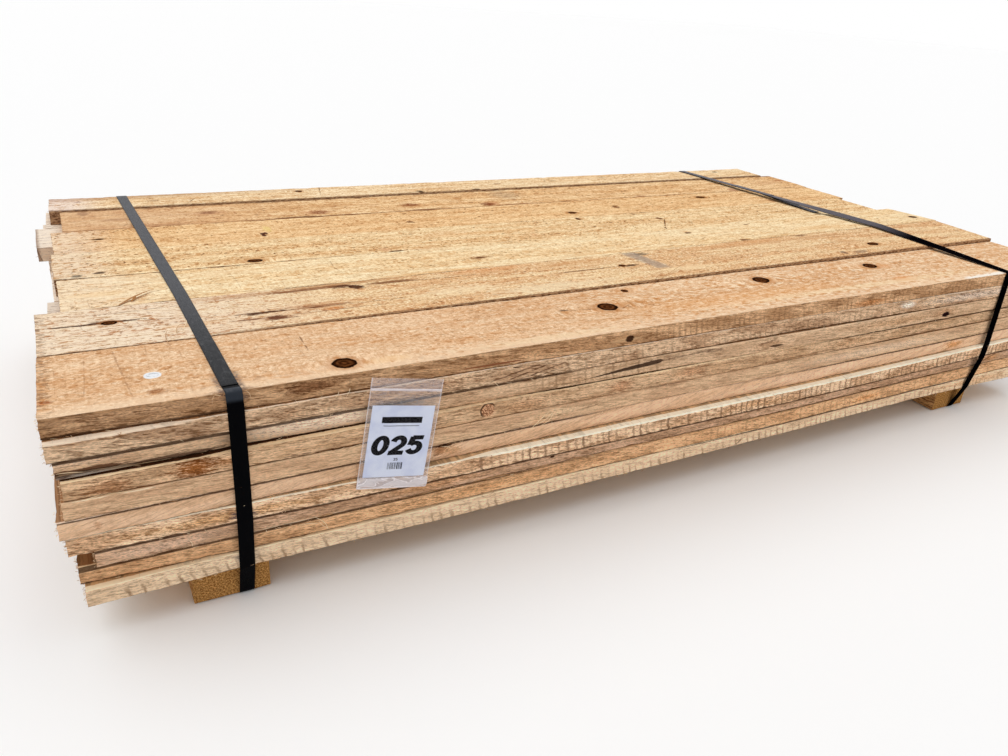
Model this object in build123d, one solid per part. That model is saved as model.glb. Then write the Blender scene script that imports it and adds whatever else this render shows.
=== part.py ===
"""A strapped bundle of rough-sawn cedar boards, in millimetres.

X runs along the boards, the front long edge faces -Y and +Z is up. The stack is laid out from the
front plane (y = 0), the nominal left end (x = 0) and the underside of the lowest boards (z = 0), then
everything is moved so that the origin is the bottom centre of the finished bundle.
"""
import math
import os
import random

from build123d import *

# ---- boards
BOARD_LENGTH = 1829.0       # six feet
THICKNESS = 24.8            # rough one-inch board
LAYERS = 10
SEAM = 1.6                  # open gap between neighbouring boards of a layer
DEPTH = 953.0               # front plane to the back of the stack
END_LEFT = (-4.0, 24.0)     # where the hidden boards' left ends lie, from the nominal end
END_RIGHT = (-14.0, 14.0)
END_SKEW = 3.0              # how far a sawn end runs out of square
BACK_SPREAD = 9.0           # how far the back edges wander
BOARD_MIN, BOARD_MAX = 0.135 * DEPTH, 0.157 * DEPTH   # hidden boards

# top two layers, front board to back board: share of the depth, left end and right end past the
# nominal ones, extra thickness, and how far a twisted board's right end lifts at its front and back
TOP_BOARDS = (
    (0.1763, -24.0, 6.0, 0.0, 0.0, 0.0),
    (0.1511, -20.0, 8.0, 0.4, 5.6, 9.0),
    (0.1406, 11.0, 16.0, 0.0, 9.0, 4.0),
    (0.1375, 8.0, -17.0, 0.6, 0.0, 0.0),
    (0.1364, 13.0, 6.0, 0.0, 0.0, 0.0),
    (0.1500, 31.0, 13.0, -0.8, 0.0, 0.0),
    (0.1081, 15.0, -17.0, 0.8, 0.0, 0.0),
)
SECOND_BOARDS = (
    (0.1490, -23.0, 2.0, 0.0, 0.0, 0.0),
    (0.1500, -6.0, 12.0, 0.0, 0.0, 0.0),
    (0.1500, -8.0, -4.0, 0.0, 0.0, 0.0),
    (0.1450, 4.0, 9.0, 0.0, 0.0, 0.0),
    (0.1460, 15.0, -9.0, 0.0, 0.0, 0.0),
    (0.1300, -12.0, 3.0, 0.0, 0.0, 0.0),
    (0.1300, 6.0, -6.0, 0.0, 0.0, 0.0),
)

# front boards, top layer first: how far the front edge stands out (+) or in (-) at each station
STATION_CLEAR = 20.0        # a station nearer than this to a board end is left out
STATIONS = tuple(share * BOARD_LENGTH for share in (0.0, 0.098, 0.227, 0.437, 0.601, 0.793, 1.0))
FRONT_EDGE = (
    (-4.0, -1.0, -2.0, -3.0, -3.0, 0.0, 2.0),
    (5.0, 3.0, 1.0, -2.0, -3.0, 1.0, 3.0),
    (-2.0, -7.0, -4.0, -1.0, 3.0, 2.0, 1.0),
    (3.0, 4.0, 2.0, 1.5, 2.0, -3.0, 0.0),
    (4.0, 5.0, 4.0, 0.0, 3.0, 2.5, 1.0),
    (2.0, 1.0, 0.5, -0.5, 1.5, -0.5, 0.0),
    (1.0, 4.5, 12.5, 15.0, 16.5, 12.0, 4.0),
    (-2.0, -1.0, -0.5, 2.0, 3.5, -1.5, -1.0),
    (-13.0, -6.0, -2.5, 1.0, 4.0, 0.0, -2.0),
    (-1.0, -4.0, 0.0, 0.5, -1.0, -6.0, -8.0),
)
FRONT_LEFT_ENDS = (-24.0, -23.0, -18.0, -14.0, -17.0, -25.0, -20.0, 6.0, -14.0, -10.0)
FRONT_BOARD_MIN, FRONT_BOARD_MAX = 0.141 * DEPTH, 0.158 * DEPTH

# wane: the bark-side corner missing along the lower front edge of some front boards (layer: size)
WANE = {3: 6.0, 8: 4.0}
PAST_END = 60.0             # how far that cut runs past the nominal ends

# ---- runners, laid flat under the boards
RUNNER_WIDTH = 96.0
RUNNER_HEIGHT = 50.0
RUNNER_SETBACK = 19.0
RUNNER_LENGTH = DEPTH - 2 * RUNNER_SETBACK
RUNNER_X = (153.0, BOARD_LENGTH - 219.0)
RUNNER_EDGE = 2.0           # worn long edges
CRACK_DEPTH = 4.0           # drying crack along the left side of the right runner
CRACK_WIDTH = 1.5
CRACK_UP = 18.0

# ---- straps
STRAP_WIDTH = 19.0
STRAP_THICK = 0.9
STRAP_CLEAR = 0.5           # bend radius inside each corner, and the play a skewed band needs
HULL_EASE = 0.15            # corners that stand out less than this don't bend the band
STRAP_X = (RUNNER_X[0] + 15.5, RUNNER_X[1] + 17.0)   # at the front face
STRAP_SKEW = (1.4, 1.5)     # degrees that each band turns away from square, back end to the left
BOW_Y, BOW_RISE = 0.315 * DEPTH, 13.5   # where the right band stands off the boards, and how high
JOIN_LENGTH = 130.0         # doubled length where the two ends of a band are welded
JOIN_START = (13.0, 0.640 * DEPTH)  # distance of the doubled length from the front plane
TAIL_LENGTH = 150.0         # loose inner end of the right band, lying on the boards
TAIL_ROOT = 20.0            # part of it inside the weld
TAIL_REST = 0.6             # its foot above the boards

# ---- lot tag: a card in a clear zip pouch
POUCH_WIDTH, POUCH_HEIGHT = 96.0, 153.0
FILM = 0.35                 # film thickness
POCKET = 0.8                # room between the films
POUCH_RIM = 3.0             # welded margin
CARD_WIDTH, CARD_HEIGHT, CARD_THICK = POUCH_WIDTH - 12.0, POUCH_HEIGHT - 53.0, 0.4
CARD_DROP = 36.5            # card top below the pouch top
ZIP_DROP, ZIP_HEIGHT, ZIP_RISE = 14.0, 2.4, 0.7
TAG_X, TAG_DROP = 380.8, 16.4   # top middle of the pouch, below the top of the stack
TAG_TURN = 9.3              # degrees, right side lower
TAG_LEAN = 2.9              # degrees, foot pushed out by the seventh layer
TAG_YAW = 3.1               # degrees, right side further out
TAG_STANDOFF = 4.5          # top middle of the pouch's back to the front plane

STACK_HEIGHT = LAYERS * THICKNESS
rng = random.Random(11)


def along(values, x):
    """Front edge position at x, straight between the stations."""
    for i in range(len(STATIONS) - 1):
        a, b = STATIONS[i], STATIONS[i + 1]
        if x <= b or i == len(STATIONS) - 2:
            return values[i] + (values[i + 1] - values[i]) * (x - a) / (b - a)


def board(outline, bottom, extra=0.0, lift_front=0.0, lift_back=0.0):
    """A board from its plan outline; a twisted one is flat at its left end and lifts at its right."""
    if not (lift_front or lift_back):
        return extrude(Pos(0, 0, bottom) * make_face(Polyline(*outline, close=True)), THICKNESS + extra)
    ends = []
    for x, at_front, at_back in ((outline[0][0], 0.0, 0.0), (outline[1][0], lift_front, lift_back)):
        near, far = outline[0][1], outline[2][1]
        ends.append(make_face(Polyline(
            (x, near, bottom + at_front), (x, far, bottom + at_back),
            (x, far, bottom + at_back + THICKNESS + extra), (x, near, bottom + at_front + THICKNESS + extra),
            close=True)))
    return loft(ends, ruled=True)


def front_outline(layer, x_left, x_right, y_back):
    """Plan outline of a front board, its front edge bowed as measured."""
    values = FRONT_EDGE[layer]
    xs = [x_left] + [x for x in STATIONS if x_left + STATION_CLEAR < x < x_right - STATION_CLEAR] + [x_right]
    front = [(x, -along(values, x)) for x in xs]
    return front + [(x_right - END_SKEW, y_back), (x_left + END_SKEW, y_back)]


def cut_wane(solid, layer, bottom, size):
    """Take the lower front corner off a front board, following its bowed edge."""
    values = FRONT_EDGE[layer]
    for a, b in zip(STATIONS[:-1], STATIONS[1:]):
        xa, xb = a - PAST_END * (a == STATIONS[0]), b + PAST_END * (b == STATIONS[-1])
        pa, pb = -along(values, xa), -along(values, xb)
        wedge = Polyline((xa, pa - size, bottom - size), (xa, pa + size, bottom), (xa, pa, bottom + size),
                         (xa, pa - size, bottom + size), close=True)
        far = Polyline((xb, pb - size, bottom - size), (xb, pb + size, bottom), (xb, pb, bottom + size),
                       (xb, pb - size, bottom + size), close=True)
        solid -= loft([make_face(wedge), make_face(far)])
    return solid


def layer_boards(layer):
    """All boards of one layer, top layer is number 0. Returns solids and their back edge."""
    bottom = STACK_HEIGHT - (layer + 1) * THICKNESS
    solids = []
    if layer < 2:
        plan = [(share * DEPTH, left, BOARD_LENGTH + past, *shape)
                for share, left, past, *shape in (TOP_BOARDS, SECOND_BOARDS)[layer]]
    else:
        widths = [rng.uniform(FRONT_BOARD_MIN, FRONT_BOARD_MAX)]
        while DEPTH - sum(widths) > 1.13 * BOARD_MAX:
            widths.append(rng.uniform(BOARD_MIN, BOARD_MAX))
        widths.append(DEPTH - sum(widths))
        plan = []
        for i, width in enumerate(widths):
            left = FRONT_LEFT_ENDS[layer] if i == 0 else rng.uniform(*END_LEFT)
            plan.append((width, left, BOARD_LENGTH + rng.uniform(*END_RIGHT)))
    y = 0.0
    for i, (width, left, right, *shape) in enumerate(plan):
        near, far = y + SEAM / 2, y + width - SEAM / 2
        if i == 0:
            outline = front_outline(layer, left, right, far)
        elif i == len(plan) - 1:
            back = [DEPTH + rng.uniform(-BACK_SPREAD, 0) for _ in range(3)]
            outline = [(left, near), (right, near), (right - END_SKEW, back[0]), (BOARD_LENGTH / 2, back[1]),
                       (left + END_SKEW, back[2])]
        else:
            outline = [(left, near), (right, near), (right + rng.uniform(-END_SKEW, END_SKEW), far),
                       (left + rng.uniform(-END_SKEW, END_SKEW), far)]
        solid = board(outline, bottom, *shape)
        if i == 0 and layer + 1 in WANE:
            solid = cut_wane(solid, layer, bottom, WANE[layer + 1])
        solids.append(solid)
        y += width
    return solids


def runner(number):
    """One runner: a rough block with worn long edges, the right one with a drying crack."""
    block = Box(RUNNER_WIDTH, RUNNER_LENGTH, RUNNER_HEIGHT, align=(Align.CENTER, Align.MIN, Align.MAX))
    block = chamfer(block.edges().filter_by(Axis.Y), RUNNER_EDGE)
    if number == 1:
        crack = Box(2 * CRACK_DEPTH, RUNNER_LENGTH + 2, CRACK_WIDTH, align=(Align.CENTER, Align.MIN, Align.CENTER))
        block -= Pos(-RUNNER_WIDTH / 2, -1, CRACK_UP - RUNNER_HEIGHT) * crack
    return Pos(RUNNER_X[number], RUNNER_SETBACK, 0) * block


def hull(points):
    """Corners of the smallest convex outline round the points, counter-clockwise."""
    def half(ordered):
        chain = []
        for p in ordered:
            while len(chain) > 1:
                (ax, ay), (bx, by) = chain[-2], chain[-1]
                if (bx - ax) * (p[1] - ay) - (by - ay) * (p[0] - ax) > 1e-6:
                    break
                chain.pop()
            chain.append(p)
        return chain[:-1]
    ordered = sorted(set((round(y, 3), round(z, 3)) for y, z in points))
    corners = half(ordered) + half(ordered[::-1])
    kept = []
    for i, (y, z) in enumerate(corners):
        (ya, za), (yb, zb) = kept[-1] if kept else corners[-1], corners[(i + 1) % len(corners)]
        stands_out = abs((yb - ya) * (z - za) - (zb - za) * (y - ya)) / math.hypot(yb - ya, zb - za)
        if stands_out > HULL_EASE:
            kept.append((y, z))
    return kept


def section_points(shapes, x_mid):
    """Corners, across the bundle, of the solids that a band at x_mid passes over."""
    slab = Pos(x_mid, DEPTH / 2, 0) * Box(STRAP_WIDTH, 3 * DEPTH, 6 * STACK_HEIGHT)
    points = []
    for shape in shapes:
        if shape.bounding_box().min.X < x_mid < shape.bounding_box().max.X:
            points += [(vertex.Y, vertex.Z) for vertex in (shape & slab).vertices()]
    return points


def strap(number, shapes):
    """A band pulled tight round boards and runner: offset loops of the outline it bears on."""
    x_front = STRAP_X[number]
    turn = Pos(x_front, 0, 0) * Rot(0, 0, STRAP_SKEW[number]) * Pos(-x_front, 0, 0)
    points = section_points([turn.inverse() * shape for shape in shapes], x_front)
    if number == 1:
        points.append((BOW_Y, STACK_HEIGHT + BOW_RISE))
    corners = hull(points)
    plane = Plane(origin=(x_front, 0, 0), x_dir=(0, 1, 0), z_dir=(1, 0, 0))
    outline = make_face(Polyline(*corners, close=True))
    inner = offset(outline, STRAP_CLEAR, kind=Kind.ARC)
    once = offset(outline, STRAP_CLEAR + STRAP_THICK, kind=Kind.ARC)
    band = extrude(plane * (once - inner), STRAP_WIDTH / 2, both=True)
    twice = offset(outline, STRAP_CLEAR + 2 * STRAP_THICK, kind=Kind.ARC)
    cover = extrude(plane * (twice - inner), STRAP_WIDTH / 2, both=True)
    window = Pos(x_front, JOIN_START[number], STACK_HEIGHT - 4) * Box(
        STRAP_WIDTH + 2, JOIN_LENGTH, 30, align=(Align.CENTER, Align.MIN, Align.MIN))
    band += cover & window
    if number == 1:
        root = JOIN_START[number] + TAIL_ROOT
        high, low = section_top(corners, root) + STRAP_CLEAR, STACK_HEIGHT + STRAP_CLEAR + TAIL_REST
        foot = root - TAIL_LENGTH
        tail = Polyline((root, high), (foot, low), (foot, low + STRAP_THICK), (root, high + STRAP_THICK), close=True)
        band += extrude(plane * make_face(tail), STRAP_WIDTH / 2, both=True)
    return turn * band


def section_top(corners, y):
    """Height of the upper side of a convex outline at y."""
    best = 0.0
    for (ya, za), (yb, zb) in zip(corners, corners[1:] + corners[:1]):
        if min(ya, yb) <= y <= max(ya, yb) and abs(yb - ya) > 1e-6:
            best = max(best, za + (zb - za) * (y - ya) / (yb - ya))
    return best


def place_tag(shape):
    """From the pouch's own frame (top centre, front face towards -Y) to its place on the boards."""
    turn = Rot(0, TAG_TURN, 0) * Rot(-TAG_LEAN, 0, 0) * Rot(0, 0, -TAG_YAW)
    return Pos(TAG_X, -TAG_STANDOFF, STACK_HEIGHT - TAG_DROP) * turn * shape


def tag():
    """Clear pouch with a welded rim, a zip strip across it and the card in its pocket."""
    total = 2 * FILM + POCKET
    pouch = Box(POUCH_WIDTH, total, POUCH_HEIGHT, align=(Align.CENTER, Align.MAX, Align.MAX))
    room = Box(POUCH_WIDTH - 2 * POUCH_RIM, POCKET, POUCH_HEIGHT - POUCH_RIM - ZIP_DROP - ZIP_HEIGHT - 4,
               align=(Align.CENTER, Align.MAX, Align.MIN))
    pouch -= Pos(0, -FILM, -POUCH_HEIGHT + POUCH_RIM) * room
    strip = Box(POUCH_WIDTH - 2, ZIP_RISE + 0.1, ZIP_HEIGHT, align=(Align.CENTER, Align.MAX, Align.MAX))
    pouch += Pos(0, -total + 0.1, -ZIP_DROP) * strip
    card = Box(CARD_WIDTH, CARD_THICK, CARD_HEIGHT, align=(Align.CENTER, Align.CENTER, Align.MAX))
    card = Pos(0, -FILM - POCKET / 2, -CARD_DROP) * card
    return place_tag(pouch), place_tag(card)


nodes = {}
everything = []
for layer in range(LAYERS):
    solids = layer_boards(layer)
    nodes[f"board_layer_{layer + 1:02d}"] = solids
    everything += solids
for number, name in enumerate(("runner_left", "runner_right")):
    nodes[name] = [runner(number)]
    everything += nodes[name]
for number, name in enumerate(("strap_left", "strap_right")):
    nodes[name] = [strap(number, everything[:])]
pouch, card = tag()
nodes["tag_pouch"] = [pouch]
nodes["tag_card"] = [card]

boxes = [s.bounding_box() for solids in nodes.values() for s in solids]
low = [min(getattr(b.min, axis) for b in boxes) for axis in "XYZ"]
high = [max(getattr(b.max, axis) for b in boxes) for axis in "XYZ"]
shift = Pos(-(low[0] + high[0]) / 2, -(low[1] + high[1]) / 2, -low[2])
os.makedirs("parts", exist_ok=True)
for name, solids in nodes.items():
    moved = [(shift * s).solid() for s in solids]
    export_step(moved[0] if len(moved) == 1 else Compound(children=moved), f"parts/{name}.step")
print("size", [round(b - a, 2) for a, b in zip(low, high)])
print("origin in the stack frame", round((low[0] + high[0]) / 2, 3), round((low[1] + high[1]) / 2, 3), round(low[2], 3))
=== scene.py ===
import math
import random

import bpy
import numpy as np
from mathutils import Matrix, Vector


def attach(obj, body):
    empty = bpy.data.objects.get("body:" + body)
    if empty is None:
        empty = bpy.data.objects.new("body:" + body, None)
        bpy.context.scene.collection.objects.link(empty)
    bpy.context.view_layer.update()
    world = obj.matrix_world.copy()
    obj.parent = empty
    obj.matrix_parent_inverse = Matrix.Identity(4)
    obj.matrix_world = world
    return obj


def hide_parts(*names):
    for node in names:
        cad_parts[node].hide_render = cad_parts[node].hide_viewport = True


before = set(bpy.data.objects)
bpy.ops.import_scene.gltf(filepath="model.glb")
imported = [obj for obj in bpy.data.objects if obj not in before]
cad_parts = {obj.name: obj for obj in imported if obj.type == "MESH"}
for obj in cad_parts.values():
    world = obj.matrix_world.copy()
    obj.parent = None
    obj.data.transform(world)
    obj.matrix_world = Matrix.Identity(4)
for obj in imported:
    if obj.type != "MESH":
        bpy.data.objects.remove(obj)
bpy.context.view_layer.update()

# The bundle is laid out in millimetres in the stack frame: x from the nominal left end, y from the
# front plane, z from the underside of the boards. ORIGIN is the part's own origin in that frame.
ORIGIN = np.array((910.0, 468.605, -51.4))
THICK, LAYERS, DEPTH = 24.8, 10, 953.0
STACK = LAYERS * THICK
LEFT_BAND = 170.0       # x of the left band where it crosses the front edge


def placed(name, data):
    """A new object in the scene."""
    ob = bpy.data.objects.new(name, data)
    bpy.context.scene.collection.objects.link(ob)
    return ob


# ------------------------------------------------------------------ camera
FOCAL_PX, IMAGE_W, SENSOR = 813.7, 1008, 36
EYE = np.array((23.9, -852.5, 675.2))
ahead = Vector((0.4546, 0.7806, -0.429)).normalized()
right = Vector((0.8779, -0.4739, 0.0679)).normalized()
up = right.cross(ahead).normalized()
right = ahead.cross(up).normalized()
camera = placed("camera", bpy.data.cameras.new("camera"))
camera.data.sensor_width = SENSOR
camera.data.lens = FOCAL_PX * SENSOR / IMAGE_W
turned = Matrix((right, up, -ahead)).transposed().to_4x4()
camera.matrix_world = Matrix.Translation(Vector((EYE - ORIGIN) / 1000)) @ turned
bpy.context.scene.camera = camera


# ------------------------------------------------------------------ noise for shapes
TABLE = np.random.default_rng(5).permutation(256)
LEVEL = np.random.default_rng(6).uniform(-1, 1, 256)


def lump(x, y=0.0, z=0.0):
    """Smooth noise between -1 and 1 with lumps about one unit wide."""
    corners, sides = [], []
    for a in np.broadcast_arrays(np.asarray(x, float), y, z):
        low = np.floor(a).astype(int)
        near = (a - low) ** 2 * (3 - 2 * (a - low))
        corners.append(low)
        sides.append((1 - near, near))
    total = 0
    for cx in (0, 1):
        hx = TABLE[(corners[0] + cx) & 255]
        for cy in (0, 1):
            hy = TABLE[(hx + corners[1] + cy) & 255]
            for cz in (0, 1):
                hz = TABLE[(hy + corners[2] + cz) & 255]
                total = total + LEVEL[hz] * sides[0][cx] * sides[1][cy] * sides[2][cz]
    return total


def window(x, lo, hi, soft):
    """1 between lo and hi, falling evenly to 0 over soft on each side; for arrays."""
    return np.clip((x - lo) / soft + 1, 0, 1) * np.clip((hi - x) / soft + 1, 0, 1)


# ------------------------------------------------------------------ materials
# Colours are written "#rrggbb" or as one of these words.
TINTS = dict(DARK="#260f06", RUST="#b65c20", GREY="#766a62", WHITE="#faf0e2", BROWN="#6e3e20", UMBER="#462412",
             COCOA="#965e38")


def linear(tint):
    """The linear colour of a written one."""
    code = TINTS.get(tint, tint)
    parts = (int(code[i:i + 2], 16) / 255 for i in (1, 3, 5))
    return tuple(c / 12.92 if c <= 0.04045 else ((c + 0.055) / 1.055) ** 2.4 for c in parts) + (1.0,)


def rows(text):
    """A table written as text: commas between rows, spaces between values, which are numbers or colours."""
    return [[word if word[0].isalpha() or word[0] == "#" else float(word) for word in row.split()]
            for row in text.split(",")]


class Val:
    """A number or colour inside a material, with arithmetic that adds nodes."""

    def __init__(self, mat, out):
        self.mat, self.out = mat, out

    def op(self, kind, *terms):
        return Val(self.mat, self.mat.node("Math", *terms, operation=kind).outputs[0])

    def __add__(self, o): return self.op("ADD", self, o)
    def __radd__(self, o): return self.op("ADD", self, o)
    def __sub__(self, o): return self.op("SUBTRACT", self, o)
    def __rsub__(self, o): return self.op("SUBTRACT", o, self)
    def __mul__(self, o): return self.op("MULTIPLY", self, o)
    def __truediv__(self, o): return self.op("DIVIDE", self, o)
    def abs(self): return self.op("ABSOLUTE", self)
    def fract(self): return self.op("FRACT", self)
    def floor(self): return self.op("FLOOR", self)
    def sqrt(self): return self.op("SQRT", self)
    def sin(self): return self.op("SINE", self)
    def min(self, o): return self.op("MINIMUM", self, o)
    def max(self, o): return self.op("MAXIMUM", self, o)

    def fade(self, lo, hi):
        """0 at lo, 1 at hi, smooth between; lo may be the larger one."""
        node = self.mat.node("MapRange", self, lo, hi, 0.0, 1.0, interpolation_type="SMOOTHSTEP")
        return Val(self.mat, node.outputs[0])

    def about(self, middle, inner, outer):
        """1 within inner of the middle, fading to 0 at outer."""
        return (self - middle).abs().fade(outer, inner)

    def between(self, lo, hi, soft):
        """1 between lo and hi, fading to 0 over soft on each side."""
        return self.fade(lo - soft, lo) * self.fade(hi + soft, hi)


class Mat:
    """A Principled material in the stack frame's millimetres, painted in layers over a first colour."""

    def __init__(self, name, colour, rough, specular=0.0):
        self.m = bpy.data.materials.new(name)
        self.m.use_nodes = True
        self.tree = self.m.node_tree
        self.shader = self.tree.nodes["Principled BSDF"]
        self.colour = colour
        self.set("Roughness", rough)
        self.set("Specular IOR Level", specular)
        spot = self.split(self.node("TexCoord").outputs["Object"])
        self.x, self.y, self.z = (a * 1000.0 + float(o) for a, o in zip(spot, ORIGIN))

    def put(self, slot, term):
        if isinstance(term, Val):
            self.tree.links.new(term.out, slot)
        else:
            slot.default_value = linear(term) if isinstance(term, str) else term

    def set(self, name, term):
        self.put(self.shader.inputs[name], term)

    def node(self, kind, *terms, **settings):
        """A new node with these settings, and with the terms in its first inputs."""
        node = self.tree.nodes.new("ShaderNode" + kind)
        for key, value in settings.items():
            setattr(node, key, value)
        for slot, term in zip(node.inputs, terms):
            self.put(slot, term)
        return node

    def split(self, out):
        node = self.node("SeparateXYZ")
        self.tree.links.new(out, node.inputs[0])
        return [Val(self, o) for o in node.outputs]

    def facing(self):
        """Components of the surface's outward direction."""
        return self.split(self.node("NewGeometry").outputs["True Normal"])

    def own(self, name):
        """A named vector kept on the mesh."""
        return self.split(self.node("Attribute", attribute_name=name).outputs["Vector"])

    def vector(self, x, y, z):
        return Val(self, self.node("CombineXYZ", x, y, z).outputs[0])

    def noise(self, x, y, z, detail=2.0, rough=0.5, bend=0.0):
        node = self.node("TexNoise", self.vector(x, y, z))
        for key, value in dict(Scale=1.0, Detail=detail, Roughness=rough, Distortion=bend).items():
            node.inputs[key].default_value = value
        return Val(self, node.outputs["Fac"])

    def cell(self, x):
        """A steady random number for each whole x."""
        node = self.node("TexWhiteNoise", noise_dimensions="1D")
        self.put(node.inputs["W"], x)
        return Val(self, node.outputs["Value"])

    def mix(self, share, a, b, kind="MIX"):
        node = self.node("Mix", data_type="RGBA", blend_type=kind)
        for k, term in ((0, share), (6, a), (7, b)):
            self.put(node.inputs[k], term)
        return Val(self, node.outputs[2])

    def shade(self, colour, *levels):
        """Colour times a grey level, or times one level for each channel."""
        return self.mix(1.0, colour, self.vector(*(levels * 3)[:3]), "MULTIPLY")

    def paint(self, share, tint):
        """Lays the tint over the colour so far."""
        self.colour = self.mix(share, self.colour, tint)

    def line(self, a, b, wide, wave, plane="xy"):
        """A natural dark line from a to b: 1 on it, 0 away from it. wave bends it by noise, in mm."""
        u, v = (self.x, self.y) if plane == "xy" else (self.x, self.z)
        dx, dy = b[0] - a[0], b[1] - a[1]
        long = math.hypot(dx, dy)
        along = ((u - a[0]) * dx + (v - a[1]) * dy) / long
        off = ((v - a[1]) * dx - (u - a[0]) * dy) / long
        off = off + (self.noise(along / 26.0, a[0] * 0.37, a[1] * 0.71, 3.0, 0.65) - 0.5) * (2 * wave)
        thin = self.noise(along / 9.0, a[0] * 0.53, a[1] * 0.29).fade(0.28, 0.62)
        ends = along.fade(-6.0, 6.0) * along.fade(long + 4.0, long - 12.0)
        half = thin * (wide * 0.75)
        return off.abs().fade(half + 0.7, half) * ends * (thin * 0.7 + 0.3)

    def finish(self, height=None, deep=1.0):
        """The material with its colour, and with height as bump, deep mm from 0 to 1."""
        self.set("Base Color", self.colour)
        if height is not None:
            bump = self.node("Bump")
            bump.inputs["Strength"].default_value = 1.0
            bump.inputs["Distance"].default_value = deep / 1000
            self.put(bump.inputs["Height"], height)
            self.tree.links.new(bump.outputs[0], self.shader.inputs["Normal"])
        return self.m


def knot_field(m, u, v, knots, seed):
    """Nearest knot as a distance in its own radii, and v bent so that the grain flows round the knots."""
    near, bent = None, v
    ragged = (m.noise(u / 9.0, v / 9.0, seed) - 0.5) * 0.34
    for ku, kv, ru, rv in knots:
        du, dv = (u - ku) / ru, (v - kv) / rv
        d = (du * du + dv * dv).sqrt() + ragged
        near = d if near is None else near.min(d)
        wide = (du * du * 0.12 + dv * dv).sqrt()
        bent = bent + (kv - v) * wide.fade(3.6, 0.6) * 0.75
    return near, bent


def paint_knots(m, near, seed):
    """Halo, bark ring and ringed heart of every knot. Gives back the hearts as a mask."""
    m.paint(near.fade(1.9, 1.0) * 0.5, "#b67642")
    rings = (near * 15.0).sin() * 0.5 + 0.5
    wood = m.mix(rings, "#42200d", "#683c1e")
    wood = m.mix(near.fade(0.62, 0.88) * 0.95, wood, "#0e0401")
    wood = m.mix(m.noise(m.x / 4.0, m.y / 3.0, seed + 3.1).fade(0.46, 0.6) * 0.55, wood, "#180903")
    heart = near.fade(1.03, 0.93)
    m.paint(heart, wood)
    return heart


def patch(u, v, spot, ragged, lo=0.35, hi=1.1):
    """1 inside the ellipse (middle u, middle v, radius u, radius v), ragged at its rim."""
    du, dv = (u - spot[0]) / spot[2], (v - spot[1]) / spot[3]
    return ((du * du + dv * dv).sqrt() + ragged).fade(hi, lo)


def moved(spots, shift):
    """The same spots with their middles shifted."""
    return [(spot[0] + shift[0], spot[1] + shift[1], *spot[2:]) for spot in spots]


def weathered(m, fuzz, reach, share, tint):
    """The bleached first stretch at the left ends, with brown fibres standing out."""
    edge = (m.x + (fuzz - 0.5) * 60.0).fade(reach, reach * 0.2)
    fur = m.noise(m.x / 24.0, m.y / 3.6, 77.0, 4.0, 0.72, 0.5)
    m.paint(edge * fur.fade(0.38, 0.50) * share, tint)
    m.paint(edge * fur.fade(0.45, 0.39) * share, "#a47654")


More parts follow.
